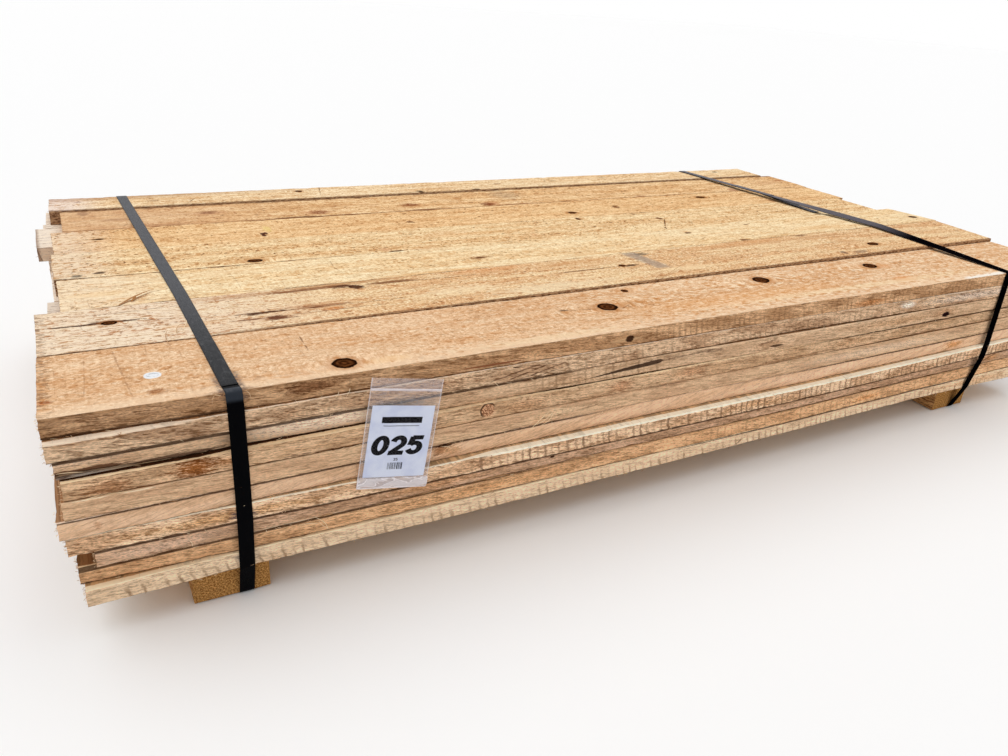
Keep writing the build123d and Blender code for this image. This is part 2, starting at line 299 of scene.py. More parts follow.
def sawn_top(name, seed, light, tan, fleck, pale, dabs, streaks, pales, fine, specks, shift=(0, 0), bold=0.0,
             tall=1.0, bleach=None, flaky=None, knots=(), stains=(), smears=(), lines=(), extra=None):
    """Rough-sawn face seen from above: long grain, torn dabs, pale fuzz, knots, checks and saw lines."""
    m = Mat(name, light, 0.85)
    x, y = m.x, m.y
    near, v = knot_field(m, x, y, moved(knots, shift), seed) if knots else (None, y)
    slow = m.noise(x / 240.0, v / 24.0, seed, 3.0, 0.6)
    grain = m.noise(x / 75.0, v / 4.6, seed + 5.3, 4.0, 0.65, 0.3)
    torn = m.noise(x / 13.0 + v * 0.05, v / 6.5, seed + 9.7, 3.0, 0.62, 0.6)
    fuzz = m.noise(x / 5.0, v / 3.4, seed + 14.1, 3.0, 0.75, 0.3)
    saw = m.noise(x / 2.4, y / 80.0, seed + 18.0, 1.0)
    m.paint(slow.fade(0.40, 0.60), tan)
    m.paint(grain.fade(0.52, 0.64) * streaks, fleck)
    m.paint((torn - (fuzz - 0.5) * 0.4).fade(0.47, 0.38) * grain.fade(0.58, 0.46) * pales, pale)
    level = (fuzz * 0.6 + torn * 0.2 + grain * 0.2).fade(0.39, 0.61) * (fine * 1.5) + (saw - 0.5) * 0.3
    level = level + (1.0 - 0.75 * fine)
    if bold:
        long = m.noise(x / 30.0, v / 10.0, seed + 51.0, 3.0, 0.7, 0.4)
        level = level + (long.fade(0.38, 0.62) - 0.62) * bold
    # painted shade and highlight: the rough face darker and warmer in its hollows, paler on its crests
    deep = level - 1.0      # hollows are darker and warmer
    m.colour = m.shade(m.colour, deep * 0.72 + 1.0, deep * 1.06 + 1.0, deep * 1.4 + 1.0)
    if bleach:
        weathered(m, fuzz, *bleach)
    if flaky:       # from one x to another the saw tore out more and more pale and orange flakes
        more = x.fade(*flaky) * 0.7
        m.paint(more * torn.fade(0.46, 0.38), "#fee6c4")
        m.paint(more * (torn + (fuzz - 0.5) * 0.3).fade(0.56, 0.62), "#d69454")
    m.paint((torn + (fuzz - 0.5) * 0.3).fade(0.605, 0.645) * dabs, fleck)
    spots = m.noise(x / 12.0, v / 10.0, seed + 44.0, 1.0) + (slow - 0.5) * 0.4
    m.paint(spots.fade(0.62, 0.67) * torn.fade(0.42, 0.54) * dabs, fleck)
    dots = m.noise(x / 8.0, v / 5.5, seed + 33.0, 2.0, 0.6, 0.4) + (slow - 0.5) * 0.3
    m.paint(dots.fade(0.615, 0.66) * specks, m.mix(fuzz.fade(0.4, 0.6), "#60361c", fleck))
    bow = x + y * 0.10 + (y - 480.0) * (y - 480.0) * 0.00012
    cut = (bow / 31.0 + m.noise(x / 300.0, y / 300.0, seed + 2.2, 0.0) * 4.0).fract()
    scratch = cut.about(0.5, 0.008, 0.03) * m.noise(x / 40.0, y / 30.0, seed + 21.0, 1.0).fade(0.5, 0.7)
    m.paint(scratch * 0.28, "#96623c")
    height = fuzz * 0.6 + torn * 0.6 + grain * 0.4 - scratch * 0.25
    for *spot, tint, share in moved(stains, shift):
        blot = m.mix(fuzz.fade(0.4, 0.6) * 0.4, tint, m.colour)
        m.paint(patch(x, y, spot, (torn - 0.5) * 1.6) * share, blot)
    ragged = (grain - 0.5) * 2.0 + (torn - 0.5) * 1.2 + (fuzz - 0.5) * 0.5
    for *spot, tint, share in moved(smears, shift):
        spot[3] *= tall
        m.paint(patch(x, y, spot, ragged, 0.62, 1.05) * share, tint)
    for ax, ay, bx, by, wide, wave, tint, share in lines:
        mark = m.line(*moved(((ax, ay), (bx, by)), shift), wide, wave) * share
        m.paint(mark, tint)
        height = height - mark * 0.8
    if knots:
        height = height - paint_knots(m, near, seed) * 0.5
    if extra:
        extra(m, torn, fuzz)
    rim = (x + (fuzz - 0.5) * 24.0).fade(-4.0, -17.0)
    m.paint(rim * torn.fade(0.56, 0.44) * 0.6, "#845c3e")
    # painted shade on the faces that look to the front: the board sides seen in the seams
    dark = m.noise(x / 9.0, m.z / 2.2, seed + 61.0, 3.0, 0.7).fade(0.42, 0.58)
    m.paint(m.facing()[1].fade(-0.3, -0.7) * 0.9, m.mix(dark, "#704a30", "#cea47c"))
    return m.finish(height, 1.6)


def extra_f(m, torn, fuzz):
    """The front board: a round white mark, dirt by the left band, and chips off its edge."""
    x, y = m.x, m.y
    ring = ((x - 95.0) * (x - 95.0) * 0.8 + (y - 74.0) * (y - 74.0)).sqrt() + (fuzz - 0.5) * 4.0
    m.paint(ring.fade(9.6, 8.2), "#eef0f3")
    m.paint(ring.about(5.0, 0.6, 2.0) * fuzz.fade(0.44, 0.56) * 0.6, "#8c8c90")
    m.paint(x.about(LEFT_BAND, 12.0, 19.0) * y.between(4.0, 46.0, 16.0) * fuzz.fade(0.36, 0.6) * 0.75, "#585054")
    m.paint(x.about(LEFT_BAND, 14.0, 34.0) * (y + (fuzz - 0.5) * 16.0).fade(9.0, 3.0) * 0.6, "#5c3a28")
    chip = x.fade(1745.0, 1800.0) * (y + (fuzz - 0.5) * 10.0).fade(30.0, 14.0)
    bare = (x + (fuzz - 0.5) * 30.0).between(1520.0, 1612.0, 26.0) * (y + (torn - 0.5) * 18.0).fade(13.0, 6.0)
    m.paint(chip.max(bare), "WHITE")


def extra_e(m, torn, fuzz):
    """The second board: a near edge darkened with painted shade from the seam in front of it, and a grey smudge."""
    m.paint((m.y + (fuzz - 0.5) * 7.0).fade(174.0, 171.5) * m.x.fade(120.0, 300.0) * 0.8, "#845c40")
    d = ((m.x - 950.0 + (m.y - 275.0) * 0.2) / 17.0).abs() + (fuzz - 0.5) * 1.2
    m.paint(d.fade(1.2, 0.5) * m.y.between(226.0, 322.0, 14.0) * 0.6, "#968a82")


def extra_b(m, torn, fuzz):
    """The sixth board: a browner left end, long edges darkened with dark wood and painted shade from the seams, and a
    dull smudge.
    """
    m.paint(m.x.fade(560.0, 40.0) * (torn * 0.7 + 0.25) * 0.7, "#d4a886")
    y = m.y + (torn - 0.5) * 20.0
    m.paint(y.fade(716.0, 709.0) * 0.75, "#8c5632")
    m.paint(y.fade(837.0, 846.0) * 0.8, "#68422a")
    d = ((m.x - 950.0) / 46.0).abs() + ((m.y - 800.0) / 60.0).abs()
    m.paint(d.fade(1.4, 0.3) * 0.4, "#aa947a")


def extra_a(m, torn, fuzz):
    """The board at the back: a near edge darkened with dark wood and painted shade from the seam, and brown at its far
    left.
    """
    m.paint((m.y + (torn - 0.5) * 16.0).fade(861.0, 853.0) * 0.7, "#704a30")
    m.paint((m.y + (fuzz - 0.5) * 14.0).fade(905.0, 945.0) * m.x.fade(600.0, 150.0) * 0.55, "#a87654")


# Top boards, front to back. light and tan: ground; fleck: dark dabs; pale: fuzz; the next ones: how much of each.
# knots: x, y, radii. stains and smears: x, y, radii, colour, share; smears have crisp rims, tall widens them.
# lines: from x, y, to x, y, width, wave, colour, share. flaky: from x, to x. bleach: reach from the left, share.
TOPS = (
    dict(seed=1.3, light="#ebc59e", tan="#e2b58a", fleck="#c48650", pale="#f9dfbe", dabs=0.62, streaks=0.25,
         pales=0.6, fine=0.36, specks=0.35, shift=(3, 0), flaky=(560, 900), extra=extra_f,
         knots=rows("307 32 16 15, 746 93 17 15, 1093 120 16 15, 1376 119 15 13, 817 147 6 6"),
         stains=rows("""900 -8 3000 44 #f8dcbc .55, 91 29 12 9 COCOA .85, -20 41 8 6 RUST .95,
         360 24 40 12 #f6ce9e .6, 334 26 10 8 #ce925a .6, 790 96 34 6 #c48a56 .6, 1405 110 26 12 #d68c4e .6,
         1376 42 36 16 #de8e4c .7, 1000 60 260 30 #ecaa68 .35, 1300 36 420 12 #fce4ba .5,
         600 18 160 10 #f6dcb2 .4"""),
         smears=rows("671 101 10 3 DARK .7, 738 90 8 4 DARK .5"),
         lines=rows("""57 160 66 20 .9 2 COCOA .45, 279 130 277 80 .9 1.5 BROWN .6,
         158 166 166 60 .8 2 COCOA .4, 676 98 732 90 .9 3 BROWN .6, 765 80 788 92 1.3 3 BROWN .7""")),
    dict(seed=7.9, light="#f2d2a4", tan="#e7bb8b", fleck="#b87a4a", pale="#fce6c0", dabs=0.7, streaks=0.6,
         pales=0.8, fine=0.46, specks=0.6, shift=(4, -6), bleach=(430, 0.75, "#fae9d2"), extra=extra_e,
         knots=rows("61 258 10 7, 1501 222 15 9, 886 257 7 6"),
         stains=rows("""350 217 16 10 #ce8044 .8, 160 218 46 9 #dea66c .5, 640 306 90 16 #de9860 .5,
         820 296 110 16 #ce945e .5, 1240 300 170 20 #d69862 .55, 1384 312 22 8 #805436 .85,
         1400 296 90 10 #c48a5c .5, 260 306 120 9 #b0764a .6, 1460 252 40 8 #dc9e68 .5,
         560 230 90 22 #fae2ba .5, 700 200 140 26 #f6e4c0 .55, 1000 215 60 14 #fcdeb0 .6"""),
         smears=rows("""327 229 15 4 DARK .75, 330 232 44 9 #96603e .7, 268 207 26 9 #683a26 .95,
         236 211 34 4 BROWN .8, 256 231 44 5 #543222 .95, 50 260 66 4 UMBER .9, 58 262 24 8 #5c3420 .9,
         900 254 22 5 DARK .8, 388 303 22 9 #542c1c .95, 408 294 13 12 #462014 .95, 400 312 110 8 #be8c60 .6,
         326 304 64 6 #8c5a3a .8, 472 298 56 7 #865838 .85, 800 255 70 2.5 BROWN .8, 960 304 17 7 #54463c .7,
         950 285 10 26 #b4987e .28, 1384 196 9 9 #5c4640 .7, 1424 190 22 8 #8c6c58 .6"""),
         lines=rows("""-10 262 60 258 1.4 3 UMBER .8, 76 258 150 250 1 3 BROWN .6,
         230 232 470 226 .9 4 BROWN .6, 290 212 430 212 .9 4 GREY .6, 40 290 340 303 1 3 BROWN .55,
         430 297 620 290 1 4 BROWN .6, 930 322 944 316 1.4 2 DARK .9, 1400 258 1500 246 1.2 4 BROWN .5,
         1120 290 1840 300 1 5 COCOA .4, 1750 354 1792 352 2.6 4 BROWN .7""")),
    dict(seed=12.6, light="#fae2b8", tan="#f5d4a4", fleck="#d29c62", pale="#feecc4", dabs=0.5, streaks=0.35,
         pales=0.65, fine=0.3, specks=0.6, bold=0.2, tall=1.4, shift=(1, -4), bleach=(190, 0.55, "#fce8ce"),
         knots=rows("1818 361 10 9"),
         stains=rows("""560 322 150 7 #e2ae74 .6, 250 420 90 12 #eac090 .4, 900 330 200 7 #e2b480 .6,
         1500 350 120 22 #e6b47c .4, 1164 408 16 14 #deb07c .8, 1163 401 9 5 BROWN .8,
         60 372 46 14 #f6d09c .6, 1345 425 10 7 #c49460 .7"""),
         smears=rows("""667 373 13 3 DARK .95, 667 373 26 6 COCOA .5, 1162 402 10 4 UMBER .85,
         1240 320 12 5 BROWN .8, 1342 423 7 4 BROWN .6"""),
         lines=rows("""110 330 420 316 1 3 COCOA .5, -6 395 170 408 .8 3 COCOA .35,
         415 430 411 400 .8 1.5 BROWN .4, 700 372 900 352 .8 3 COCOA .3, 1138 441 1152 460 1.4 1 DARK .8""")),
    dict(seed=18.2, light="#f7daac", tan="#efc896", fleck="#c68e58", pale="#fce6bc", dabs=0.8, streaks=0.35,
         pales=0.6, fine=0.38, specks=1, bold=0.26, tall=1.9, bleach=(130, 0.6, "#f6e4ce"),
         knots=rows("301 461 13 8, 1000 562 5 6"),
         stains=rows("""300 466 60 14 #d6a470 .5, 800 520 130 12 #e8ba84 .4, 528 462 14 12 #ce966e .7,
         600 450 30 10 #d6a070 .5, 73 466 14 6 #be8a64 .7, 1184 522 12 7 #aa7a4e .6, 842 478 9 14 #d69e70 .6,
         680 530 60 22 #d89e68 .4"""),
         smears=rows("""545 447 16 3 UMBER .85, 70 464 9 3 DARK .8, 38 458 8 3 DARK .7, 1186 521 8 5 BROWN .85,
         1000 562 6 6 BROWN .7, 1149 569 5 3 BROWN .7"""),
         lines=rows("""-6 450 118 442 1.8 2 UMBER .8, 220 448 400 440 .9 3 COCOA .4,
         850 573 910 568 .9 2 COCOA .5, 1194 512 1139 441 1.3 1 UMBER .9""")),
    dict(seed=23.8, light="#f6d09e", tan="#eec28e", fleck="#c2864e", pale="#f9d9a8", dabs=0.8, streaks=0.3,
         pales=0.5, fine=0.34, specks=0.85, bold=0.26, tall=1.9, bleach=(130, 0.6, "#f6e4ce"),
         knots=rows("1018 612 10 7, 1431 670 13 8"),
         stains=rows("""700 640 120 14 #e0aa72 .4, 1018 612 18 9 #be8654 .5, 1431 662 26 14 #ce9660 .5,
         365 644 9 26 #f0d882 .55, 82 648 26 8 #ce965c .6"""),
         smears=rows("""83 648 13 3.5 DARK .95, 350 609 5 8 #4a221c .95, 356 616 4 5 #4a221c .9,
         1018 613 11 5 UMBER .8, 1151 635 8 6 BROWN .85, 642 625 10 4 BROWN .85, 1431 668 15 6 UMBER .85,
         1600 597 8 8 COCOA .7"""),
         lines=rows("""60 651 74 648 1.6 1 UMBER .7, 118 640 300 628 .8 3 COCOA .4,
         30 590 62 610 .9 3 COCOA .5, 76 590 112 612 .9 3 COCOA .5, 800 700 806 716 1.4 1 UMBER .7""")),
    dict(seed=29.4, light="#f4d0a0", tan="#eabe8a", fleck="#ba7c4a", pale="#f6d0a0", dabs=0.7, streaks=0.55,
         pales=0.6, fine=0.4, specks=0.8, bold=0.3, tall=1.7, extra=extra_b,
         stains=rows("""286 784 42 18 #be845c .7, 286 789 22 15 #7c482c .9, 488 744 40 22 #ce8c60 .6,
         493 741 26 17 #844422 1, 700 754 34 20 #ca8a58 .6, 696 757 25 15 #7c4020 1, 880 730 26 20 #c47c50 .7,
         870 726 20 19 #783a1c 1, 940 712 70 10 #965a34 .8, 1062 707 24 10 #8c522e .9,
         1092 709 10 9 #8c522e .8, 1281 713 20 14 #965c38 .85, 1587 724 18 16 #aa684c .85,
         1820 790 26 16 #b4764c .8, 1760 770 60 26 #cea07a .4"""),
         smears=rows("""720 708 70 6 BROWN .75, 900 704 40 6 BROWN .75, 1040 700 60 6 BROWN .7,
         1380 703 90 6 COCOA .7, 440 711 60 5 UMBER .8, 530 706 90 5 UMBER .8, 610 843 10 7 #604a38 .8,
         70 826 12 10 #7c523c .7, 120 770 30 5 COCOA .6, 200 720 60 3 COCOA .6"""),
         lines=rows("""40 772 250 786 .9 4 BROWN .5, 320 790 640 776 .9 4 COCOA .45,
         -2 800 140 806 1 4 BROWN .5, 120 736 150 728 2 2 UMBER .7""")),
    dict(seed=35.1, light="#fae0b8", tan="#f3d0a2", fleck="#c89462", pale="#fce6be", dabs=0.6, streaks=0.5,
         pales=0.6, fine=0.4, specks=0.7, bold=0.3, tall=1.7, bleach=(130, 0.8, "#f6e6de"), extra=extra_a,
         knots=rows("500 918 8 7"),
         stains=rows("""203 897 14 8 #966844 .85, 302 878 14 7 #ba8e56 .7, 265 905 70 12 #dcaa74 .5,
         66 910 10 7 #966060 .7, 760 880 100 12 #deac76 .4, 985 900 14 8 COCOA .7, 1146 905 12 8 #8c7050 .7,
         1305 916 14 9 #967854 .7"""),
         smears=rows("766 858 9 10 #3c2c1e .9, 907 856 14 5 #463424 .9, 1700 920 14 4 UMBER .7"),
         lines=rows("""280 898 260 860 1.2 2 BROWN .7, 558 960 536 874 1.2 3 BROWN .75,
         1128 918 1118 896 1.6 1 BROWN .7, 400 930 800 915 .9 4 COCOA .4""")),
)


def torn_fibres(m, u, v, seed, tilt, long, high):
    """Short slanting fibres as noise: how far each stands out, and a finer fur over them."""
    c, s = math.cos(math.radians(tilt)), math.sin(math.radians(tilt))
    a, b = u * c - v * s, u * s + v * c
    fibre = m.noise(a / long, b / high, seed, 4.0, 0.68, 0.7)
    strand = m.noise(a / (long * 2.6), b / (high * 2.4), seed + 2.6, 3.0, 0.6, 0.6)
    return fibre * 0.65 + strand * 0.35, m.noise(a / 4.5, b / 1.3, seed + 8.1, 2.0, 0.65)


def furry(m, lie, fine, power):
    """Painted shade in the hollows between fibres, darker and redder, and painted highlight on their crests."""
    base = m.colour
    m.paint(lie.fade(0.50, 0.42) * (0.78 * power), m.mix(1.0, base, (0.36, 0.27, 0.20, 1.0), "MULTIPLY"))
    m.paint(lie.fade(0.515, 0.58) * (0.7 * power), m.shade(base, 1.36))
    m.colour = m.shade(m.colour, fine.fade(0.32, 0.68) * (0.42 * power) + (1.0 - 0.2 * power))


# Sawn front edges, top layer first. behind: colour of the top face further in than reach, painted as in the shade of
# the board above; reach is given as x, mm for a row.
# gain: brightness at the left and the right. fibre: tilt, length, height, power.
# ticks: spacing, from x, to x, strength, share of them kept to the lower half.
# patches and smears: x, height in the board, half width, half height, colour, share; smears have crisp rims.
# lines: from x, height, to x, height, width, wave, colour, share.
# foot and lip: from x, to x, height, share of the painted shade line under the board and of the painted highlight line
# at its top;
# -60 to 1900 is the whole length.
FRONT = (
    dict(shaded_ledge="#c89668", gain=(0.98, 1.26), seed=41, light="#ba906a", mid="#9c7350", dark="#583a26",
         ledge="#f0c896", fibre=(5, 15, 1.7, 1), ticks=(11, 770, 1760, 0.62, 0.3),
         reach=rows("0 9"),
         patches=rows("""60 17 120 7 #b68c68 .6, 60 7 110 5 #785236 .45, 262 15 46 9 #70462a .75,
         1246 8 60 6 #b0703e .6, 560 12 200 8 #a87a54 .4"""),
         smears=rows("500 5 60 1.4 #6e3822 .8, 720 10 30 3 #be966e .5, 727 11 8 6 DARK .95"),
         foot=rows("-60 170 4 .75, -60 1900 1.3 .55")),
    dict(shaded_ledge="#b08058", gain=(0.99, 1.16), seed=46, light="#c4a07e", mid="#a88262", dark="#523624",
         ledge="#fce6cc", fibre=(7, 13, 1.9, 1.1), ticks=(13, 620, 1320, 0.55, 0.5),
         reach=rows("60 7, 140 1.6"),
         patches=rows("""1350 16 26 8 #ecdac4 .8, 1560 14 200 10 #bea896 .6, 240 10 40 10 #966c4a .4,
         430 13 60 9 #966846 .45"""),
         smears=rows("540 21 8 1.4 DARK .8, 300 4 180 1.5 #74543c .4"),
         lines=rows("""530 4 604 21 .8 2 UMBER .7, 545 2 622 17 .8 2 UMBER .7, 500 6 590 22 .7 2 UMBER .6,
         570 2 640 14 .8 2 UMBER .6"""),
         foot=rows("-60 1900 2.4 .75, -40 160 3 .6"),
         top_highlight=rows("-60 95 3 .7, 95 420 .7 .4, 1480 1760 1.3 .8")),
    dict(shaded_ledge="#a07450", gain=(1.09, 1.05), seed=51, light="#cca682", mid="#bc9572", dark="#76543a",
         ledge="#f4d4b0", fibre=(3, 16, 1.6, 0.75), ticks=(12, 575, 790, 0.7, 0),
         reach=rows("0 2"),
         patches=rows("""-4 17 70 5 #ceaa8c .6, 270 14 120 14 #ecd0b4 .75, 1012 12 50 8 #a6744e .5,
         1330 12 130 9 #b8885e .5, 1470 14 40 9 #aa744c .5, 640 8 60 7 #aa7e58 .5"""),
         smears=rows("""4 6 58 5 #5c3c28 .95, 90 3 80 3 #4e3222 .85, 562 22 14 2 #6c482e .8,
         1468 9 13 6 #1e0e0e 1, 1030 8 14 3 DARK .8"""),
         lines=rows("800 16 900 21 1.6 1.5 #60402a .6, 990 14 1030 21 2.4 1 #6e462c .7"),
         foot=rows("-60 360 1.9 .95, -60 1900 1.1 .5"),
         top_highlight=rows("1080 1760 1.3 .85, 840 900 1 .6")),
    dict(shaded_ledge="#4e301f", gain=(1.01, 1.02), seed=56, light="#cca47e", mid="#b88f6a", dark="#765034",
         ledge="#fadcb2", fibre=(5, 14, 1.7, 0.9),
         reach=rows("120 2, 180 6, 520 6, 620 2"),
         patches=rows("""121 12 34 15 #844a1e .95, 30 9 32 12 #98643e .7, 160 14 18 7 #b47442 .5,
         721 12 26 10 #b07652 .5, 852 13 40 10 #bc8660 .5, 1222 12 60 9 #b8865c .4, 560 12 40 10 #a8744e .5"""),
         smears=rows("300 1.5 60 1.2 #8c6040 .8"),
         lines=rows("1000 3 1180 5 1.6 2 #784c2e .6, 222 3 330 1 1 2 UMBER .6"),
         foot=rows("-60 1900 1.7 .6, 215 360 2 .6"),
         top_highlight=rows("-60 95 1.6 .8, 280 420 1.2 .75, 760 1330 1.3 .8")),
    dict(shaded_ledge="#b0825c", gain=(1.02, 1.03), seed=61, light="#d0a882", mid="#c29874", dark="#8c6648",
         ledge="#f0cea8", fibre=(3, 18, 1.6, 0.65),
         reach=rows("0 2"),
         patches=rows("620 14 60 6 #e2be96 .5, 1300 12 240 9 #debea0 .5"),
         smears=rows("12 24 26 1.4 #f4debc .9, 60 23 18 1.2 #f0d6b2 .8"),
         lines=rows("585 8 690 14 1 1.5 #785034 .6"),
         foot=rows("-60 640 1.5 .95, -60 1900 1 .5")),
    dict(shaded_ledge="#be926c", gain=(1.01, 1.13), seed=66, light="#dcb28e", mid="#d0a580", dark="#ac805e",
         ledge="#fae0c8", fibre=(-14, 24, 2.2, 0.45), ticks=(21, 0, 1700, 0.35, 0),
         reach=rows("0 1.6"),
         patches=rows("""1528 13 34 10 #be7a3e .7, 1150 12 220 9 #deb898 .5, 430 15 14 9 #925c36 .8,
         445 12 20 8 #ba865a .6, 14 12 5 6 #b07c58 .6"""),
         smears=rows("436 21 12 2.2 DARK .9"),
         foot=rows("-60 1900 1.3 .6"),
         top_highlight=rows("-60 330 1 .8, 330 600 .7 .4")),
    dict(shaded_ledge="#e2ba8c", gain=(1.02, 1.04), seed=71, light="#deb792", mid="#c49974", dark="#6c4830",
         ledge="#fff4dc", fibre=(8, 10, 2, 1.1), ticks=(13, 500, 1750, 1, 0),
         reach=rows("440 2, 520 9"),
         patches=rows("150 12 150 8 #ce9a64 .5, 1000 12 100 8 #c48c58 .4"),
         foot=rows("-60 1900 3 .8"),
         top_highlight=rows("520 1900 3.4 .9, 160 520 1 .85, -60 160 .5 .4")),
    dict(shaded_ledge="#966a48", gain=(1.06, 1.1), seed=76, light="#c49c7c", mid="#b08868", dark="#765238",
         ledge="#e6c4a0", fibre=(5, 12, 1.8, 0.9),
         reach=rows("0 2"),
         patches=rows("""832 20 50 4 #f0dcbc .7, 1676 12 38 9 #c88c58 .6, 420 12 90 9 #ba8250 .5,
         80 12 90 9 #c29e84 .5"""),
         smears=rows("240 2.5 70 1.2 #e8c6a0 .8, 612 14 4 2.4 DARK .9"),
         lines=rows("1640 3 1700 21 1.6 .5 #6e482e .7, 1700 21 1735 16 1.4 .5 #6e482e .5"),
         foot=rows("-60 1900 3.2 .8")),
    dict(shaded_ledge="#966842", gain=(1.11, 1.24), seed=81, light="#cc9e74", mid="#b88a62", dark="#744c2e",
         ledge="#ecc89c", fibre=(5, 12, 1.8, 0.9), ticks=(16, 900, 1500, 0.5, 0),
         reach=rows("0 2"),
         patches=rows("1304 12 50 7 #be7c44 .6, 500 10 200 8 #c69262 .4"),
         foot=rows("-60 1900 2.6 .75")),
    dict(shaded_ledge="#d6a878", gain=(1.06, 1.2), seed=86, light="#dcbc99", mid="#d1af8c", dark="#825c3e",
         ledge="#fae4c0", fibre=(4, 14, 1.7, 0.7), ticks=(14, 40, 1810, 0.9, 0.7),
         reach=rows("0 7"),
         patches=rows("120 14 120 8 #dcbc98 .5, 1640 12 150 8 #c8905c .4"),
         lines=rows("985 2 1010 14 2 1 #6e4224 .7"),
         foot=rows("-60 1900 1 .5"),
         top_highlight=rows("-60 1900 1.6 .75")),
)
LIT = 1.35      # the front faces get less light than the top, so their own colours are this much brighter
GRIME = {0: (18.0, 9.0, 0.5), 6: (10.0, 8.0, 0.8), 9: (15.0, 9.0, 0.6)}     # beside the left band: height, size, share


def pale_knot(m, w, fibre):
    """A knot cut through, pale, with bark showing on one side only."""
    dx, dw = m.x - 498.0, w - 14.0
    turn = (dx * dx + dw * dw).sqrt() + (fibre - 0.5) * 1.5
    grain = m.noise((dx + dw) / 2.2, (dw - dx) / 6.0, 4.0).fade(0.40, 0.58)
    m.paint(turn.fade(10.4, 9.6), m.mix(grain, "#7a4a30", "#cc9870"))
    m.paint(turn.about(10.6, 0.8, 1.5) * (dw - dx * 0.9).fade(-8.0, 3.0) * 0.9, "#3c2216")


def open_split(m, w, fibre):
    """A split that opens to the right and ends short, with a smudge after it. Gives back its mask."""
    off = (w - 6.0 - (m.x - 640.0) * 0.07).abs() + (fibre - 0.5) * 2.4
    split = (off - m.x.fade(630.0, 775.0) * m.x.fade(798.0, 788.0) * 3.4).fade(0.3, -0.5)
    m.paint(split * 0.9, "#2c1a12")
    smudge = m.x.between(770.0, 900.0, 40.0) * w.about(18.0, 1.0, 4.5) * fibre.fade(0.6, 0.4)
    m.paint(smudge * 0.6, "#563c2e")
    return split


def front_wood(number, seed, light, mid, dark, ledge, shaded_ledge, gain, fibre, reach, foot, top_highlight=(), ticks=None,
               patches=(), smears=(), lines=()):
    """Front edge of one layer, with its sawn ticks and stains, and the strip of its top face that shows."""
    m = Mat(f"cedar_front_{number + 1:02d}", mid, 0.85)
    x = m.x
    base = STACK - (number + 1) * THICK
    w = m.z - base
    *grain, power = fibre
    fibre, fine = torn_fibres(m, x, w, seed, *grain)
    m.paint(m.noise(x / 70.0, w / 14.0, seed + 4.7, 3.0, 0.55).fade(0.42, 0.58), light)
    height = fibre * 1.2 + fine * 0.4
    mottle = fine.fade(0.3, 0.6) * 0.5 + 0.66
    for *spot, tint, share in patches:
        m.paint(patch(x, w, spot, (fibre - 0.5) * 3.0 + (fine - 0.5) * 1.5) * share, m.shade(tint, mottle))
    furry(m, fibre, fine, power)
    for *spot, tint, share in smears:
        m.paint(patch(x, w, spot, (fibre - 0.5) * 2.2, 0.7, 1.0) * share, tint)
    if number == 3:
        pale_knot(m, w, fibre)
    if ticks:
        step, lo, hi, strength, lower = ticks
        row = x / step + w * 0.012 - (w - 12.0) * (w - 12.0) * 0.0009
        row = row + (m.noise(x / 60.0, number + 0.5, 0.0, 1.0) - 0.5) * 1.6
        row = row + (m.noise(x / 5.0, w / 4.0, number + 3.5) - 0.5) * 0.45
        mark = ((row.fract() - 0.5).abs() * step).fade(2.8, 0.5) * (m.cell(row.floor()) * 0.7 + 0.3)
        mark = mark * x.between(lo, hi, 60.0) * fibre.fade(0.34, 0.56) * (1.0 - w.fade(7.0, 19.0) * lower) * strength
        m.paint(mark * 0.85, dark)
        height = height - mark * 0.9
    for ax, aw, bx, bw, wide, wave, tint, share in lines:
        mark = m.line((ax, aw + base), (bx, bw + base), wide, wave, "xz") * share
        m.paint(mark, tint)
        height = height - mark
    if number == 2:
        height = height - open_split(m, w, fibre)
    if number in GRIME:
        drop, tall, share = GRIME[number]
        grime = x.about(LEFT_BAND, 11.0, 20.0) * w.about(drop, tall * 0.3, tall) * fibre.fade(0.58, 0.42)
        m.paint(grime * share, "#3c3842")
    at_left, at_right = gain
    lit = x.fade(0.0, 900.0) * (LIT * (at_right - at_left)) + LIT * at_left
    m.colour = m.shade(m.colour, lit * 0.99, lit * 1.06, lit * 1.13)
    if number:      # the strip in the shade of the board above, where that one stands out further
        over = m.own("middle")[0]
        shade = (w + (fibre - 0.5) * 3.0 - (THICK - over * 0.57)).fade(-2.6, -1.3) * over.fade(0.8, 2.0)
        m.paint(shade * 0.85, "#301c12")
    # painted shade: a dark line along the foot of the front face, in the gap under the board
    for x0, x1, tall, share in foot:
        edge = (w + (fibre - 0.5) * 5.0).fade(tall * 1.05, tall * 0.5)
        m.paint(edge * x.between(x0, x1, 40.0) * share, "#341e13")
    bright = m.mix(fibre.fade(0.36, 0.50), m.shade(ledge, 0.74), ledge)
    # painted highlight: a bright line along the top of the front face, in the ledge colour lifted by LIT
    for x0, x1, tall, share in top_highlight:
        edge = (w + (fibre - 0.5) * 3.0).fade(THICK - tall - 0.5, THICK - tall + 0.2)
        m.paint(edge * x.between(x0, x1, 40.0) * share, m.shade(bright, LIT))
    # the strip of top face that shows: the ledge colour on its outer reach mm, and further in painted shade from the
    # board above
    far = reach[0][1]
    for (x0, r0), (x1, r1) in zip(reach, reach[1:]):
        far = x.fade(x0, x1) * (r1 - r0) + far
    inner = m.mix(fibre.fade(0.44, 0.58), m.shade(shaded_ledge, 0.55), shaded_ledge)
    inward = m.own("board")[2] + (fibre - 0.5) * 6.0
    m.paint(m.facing()[2].fade(0.45, 0.8), m.mix((inward - far).fade(0.0, 1.2), bright, inner))
    return m.finish(height, 1.9)


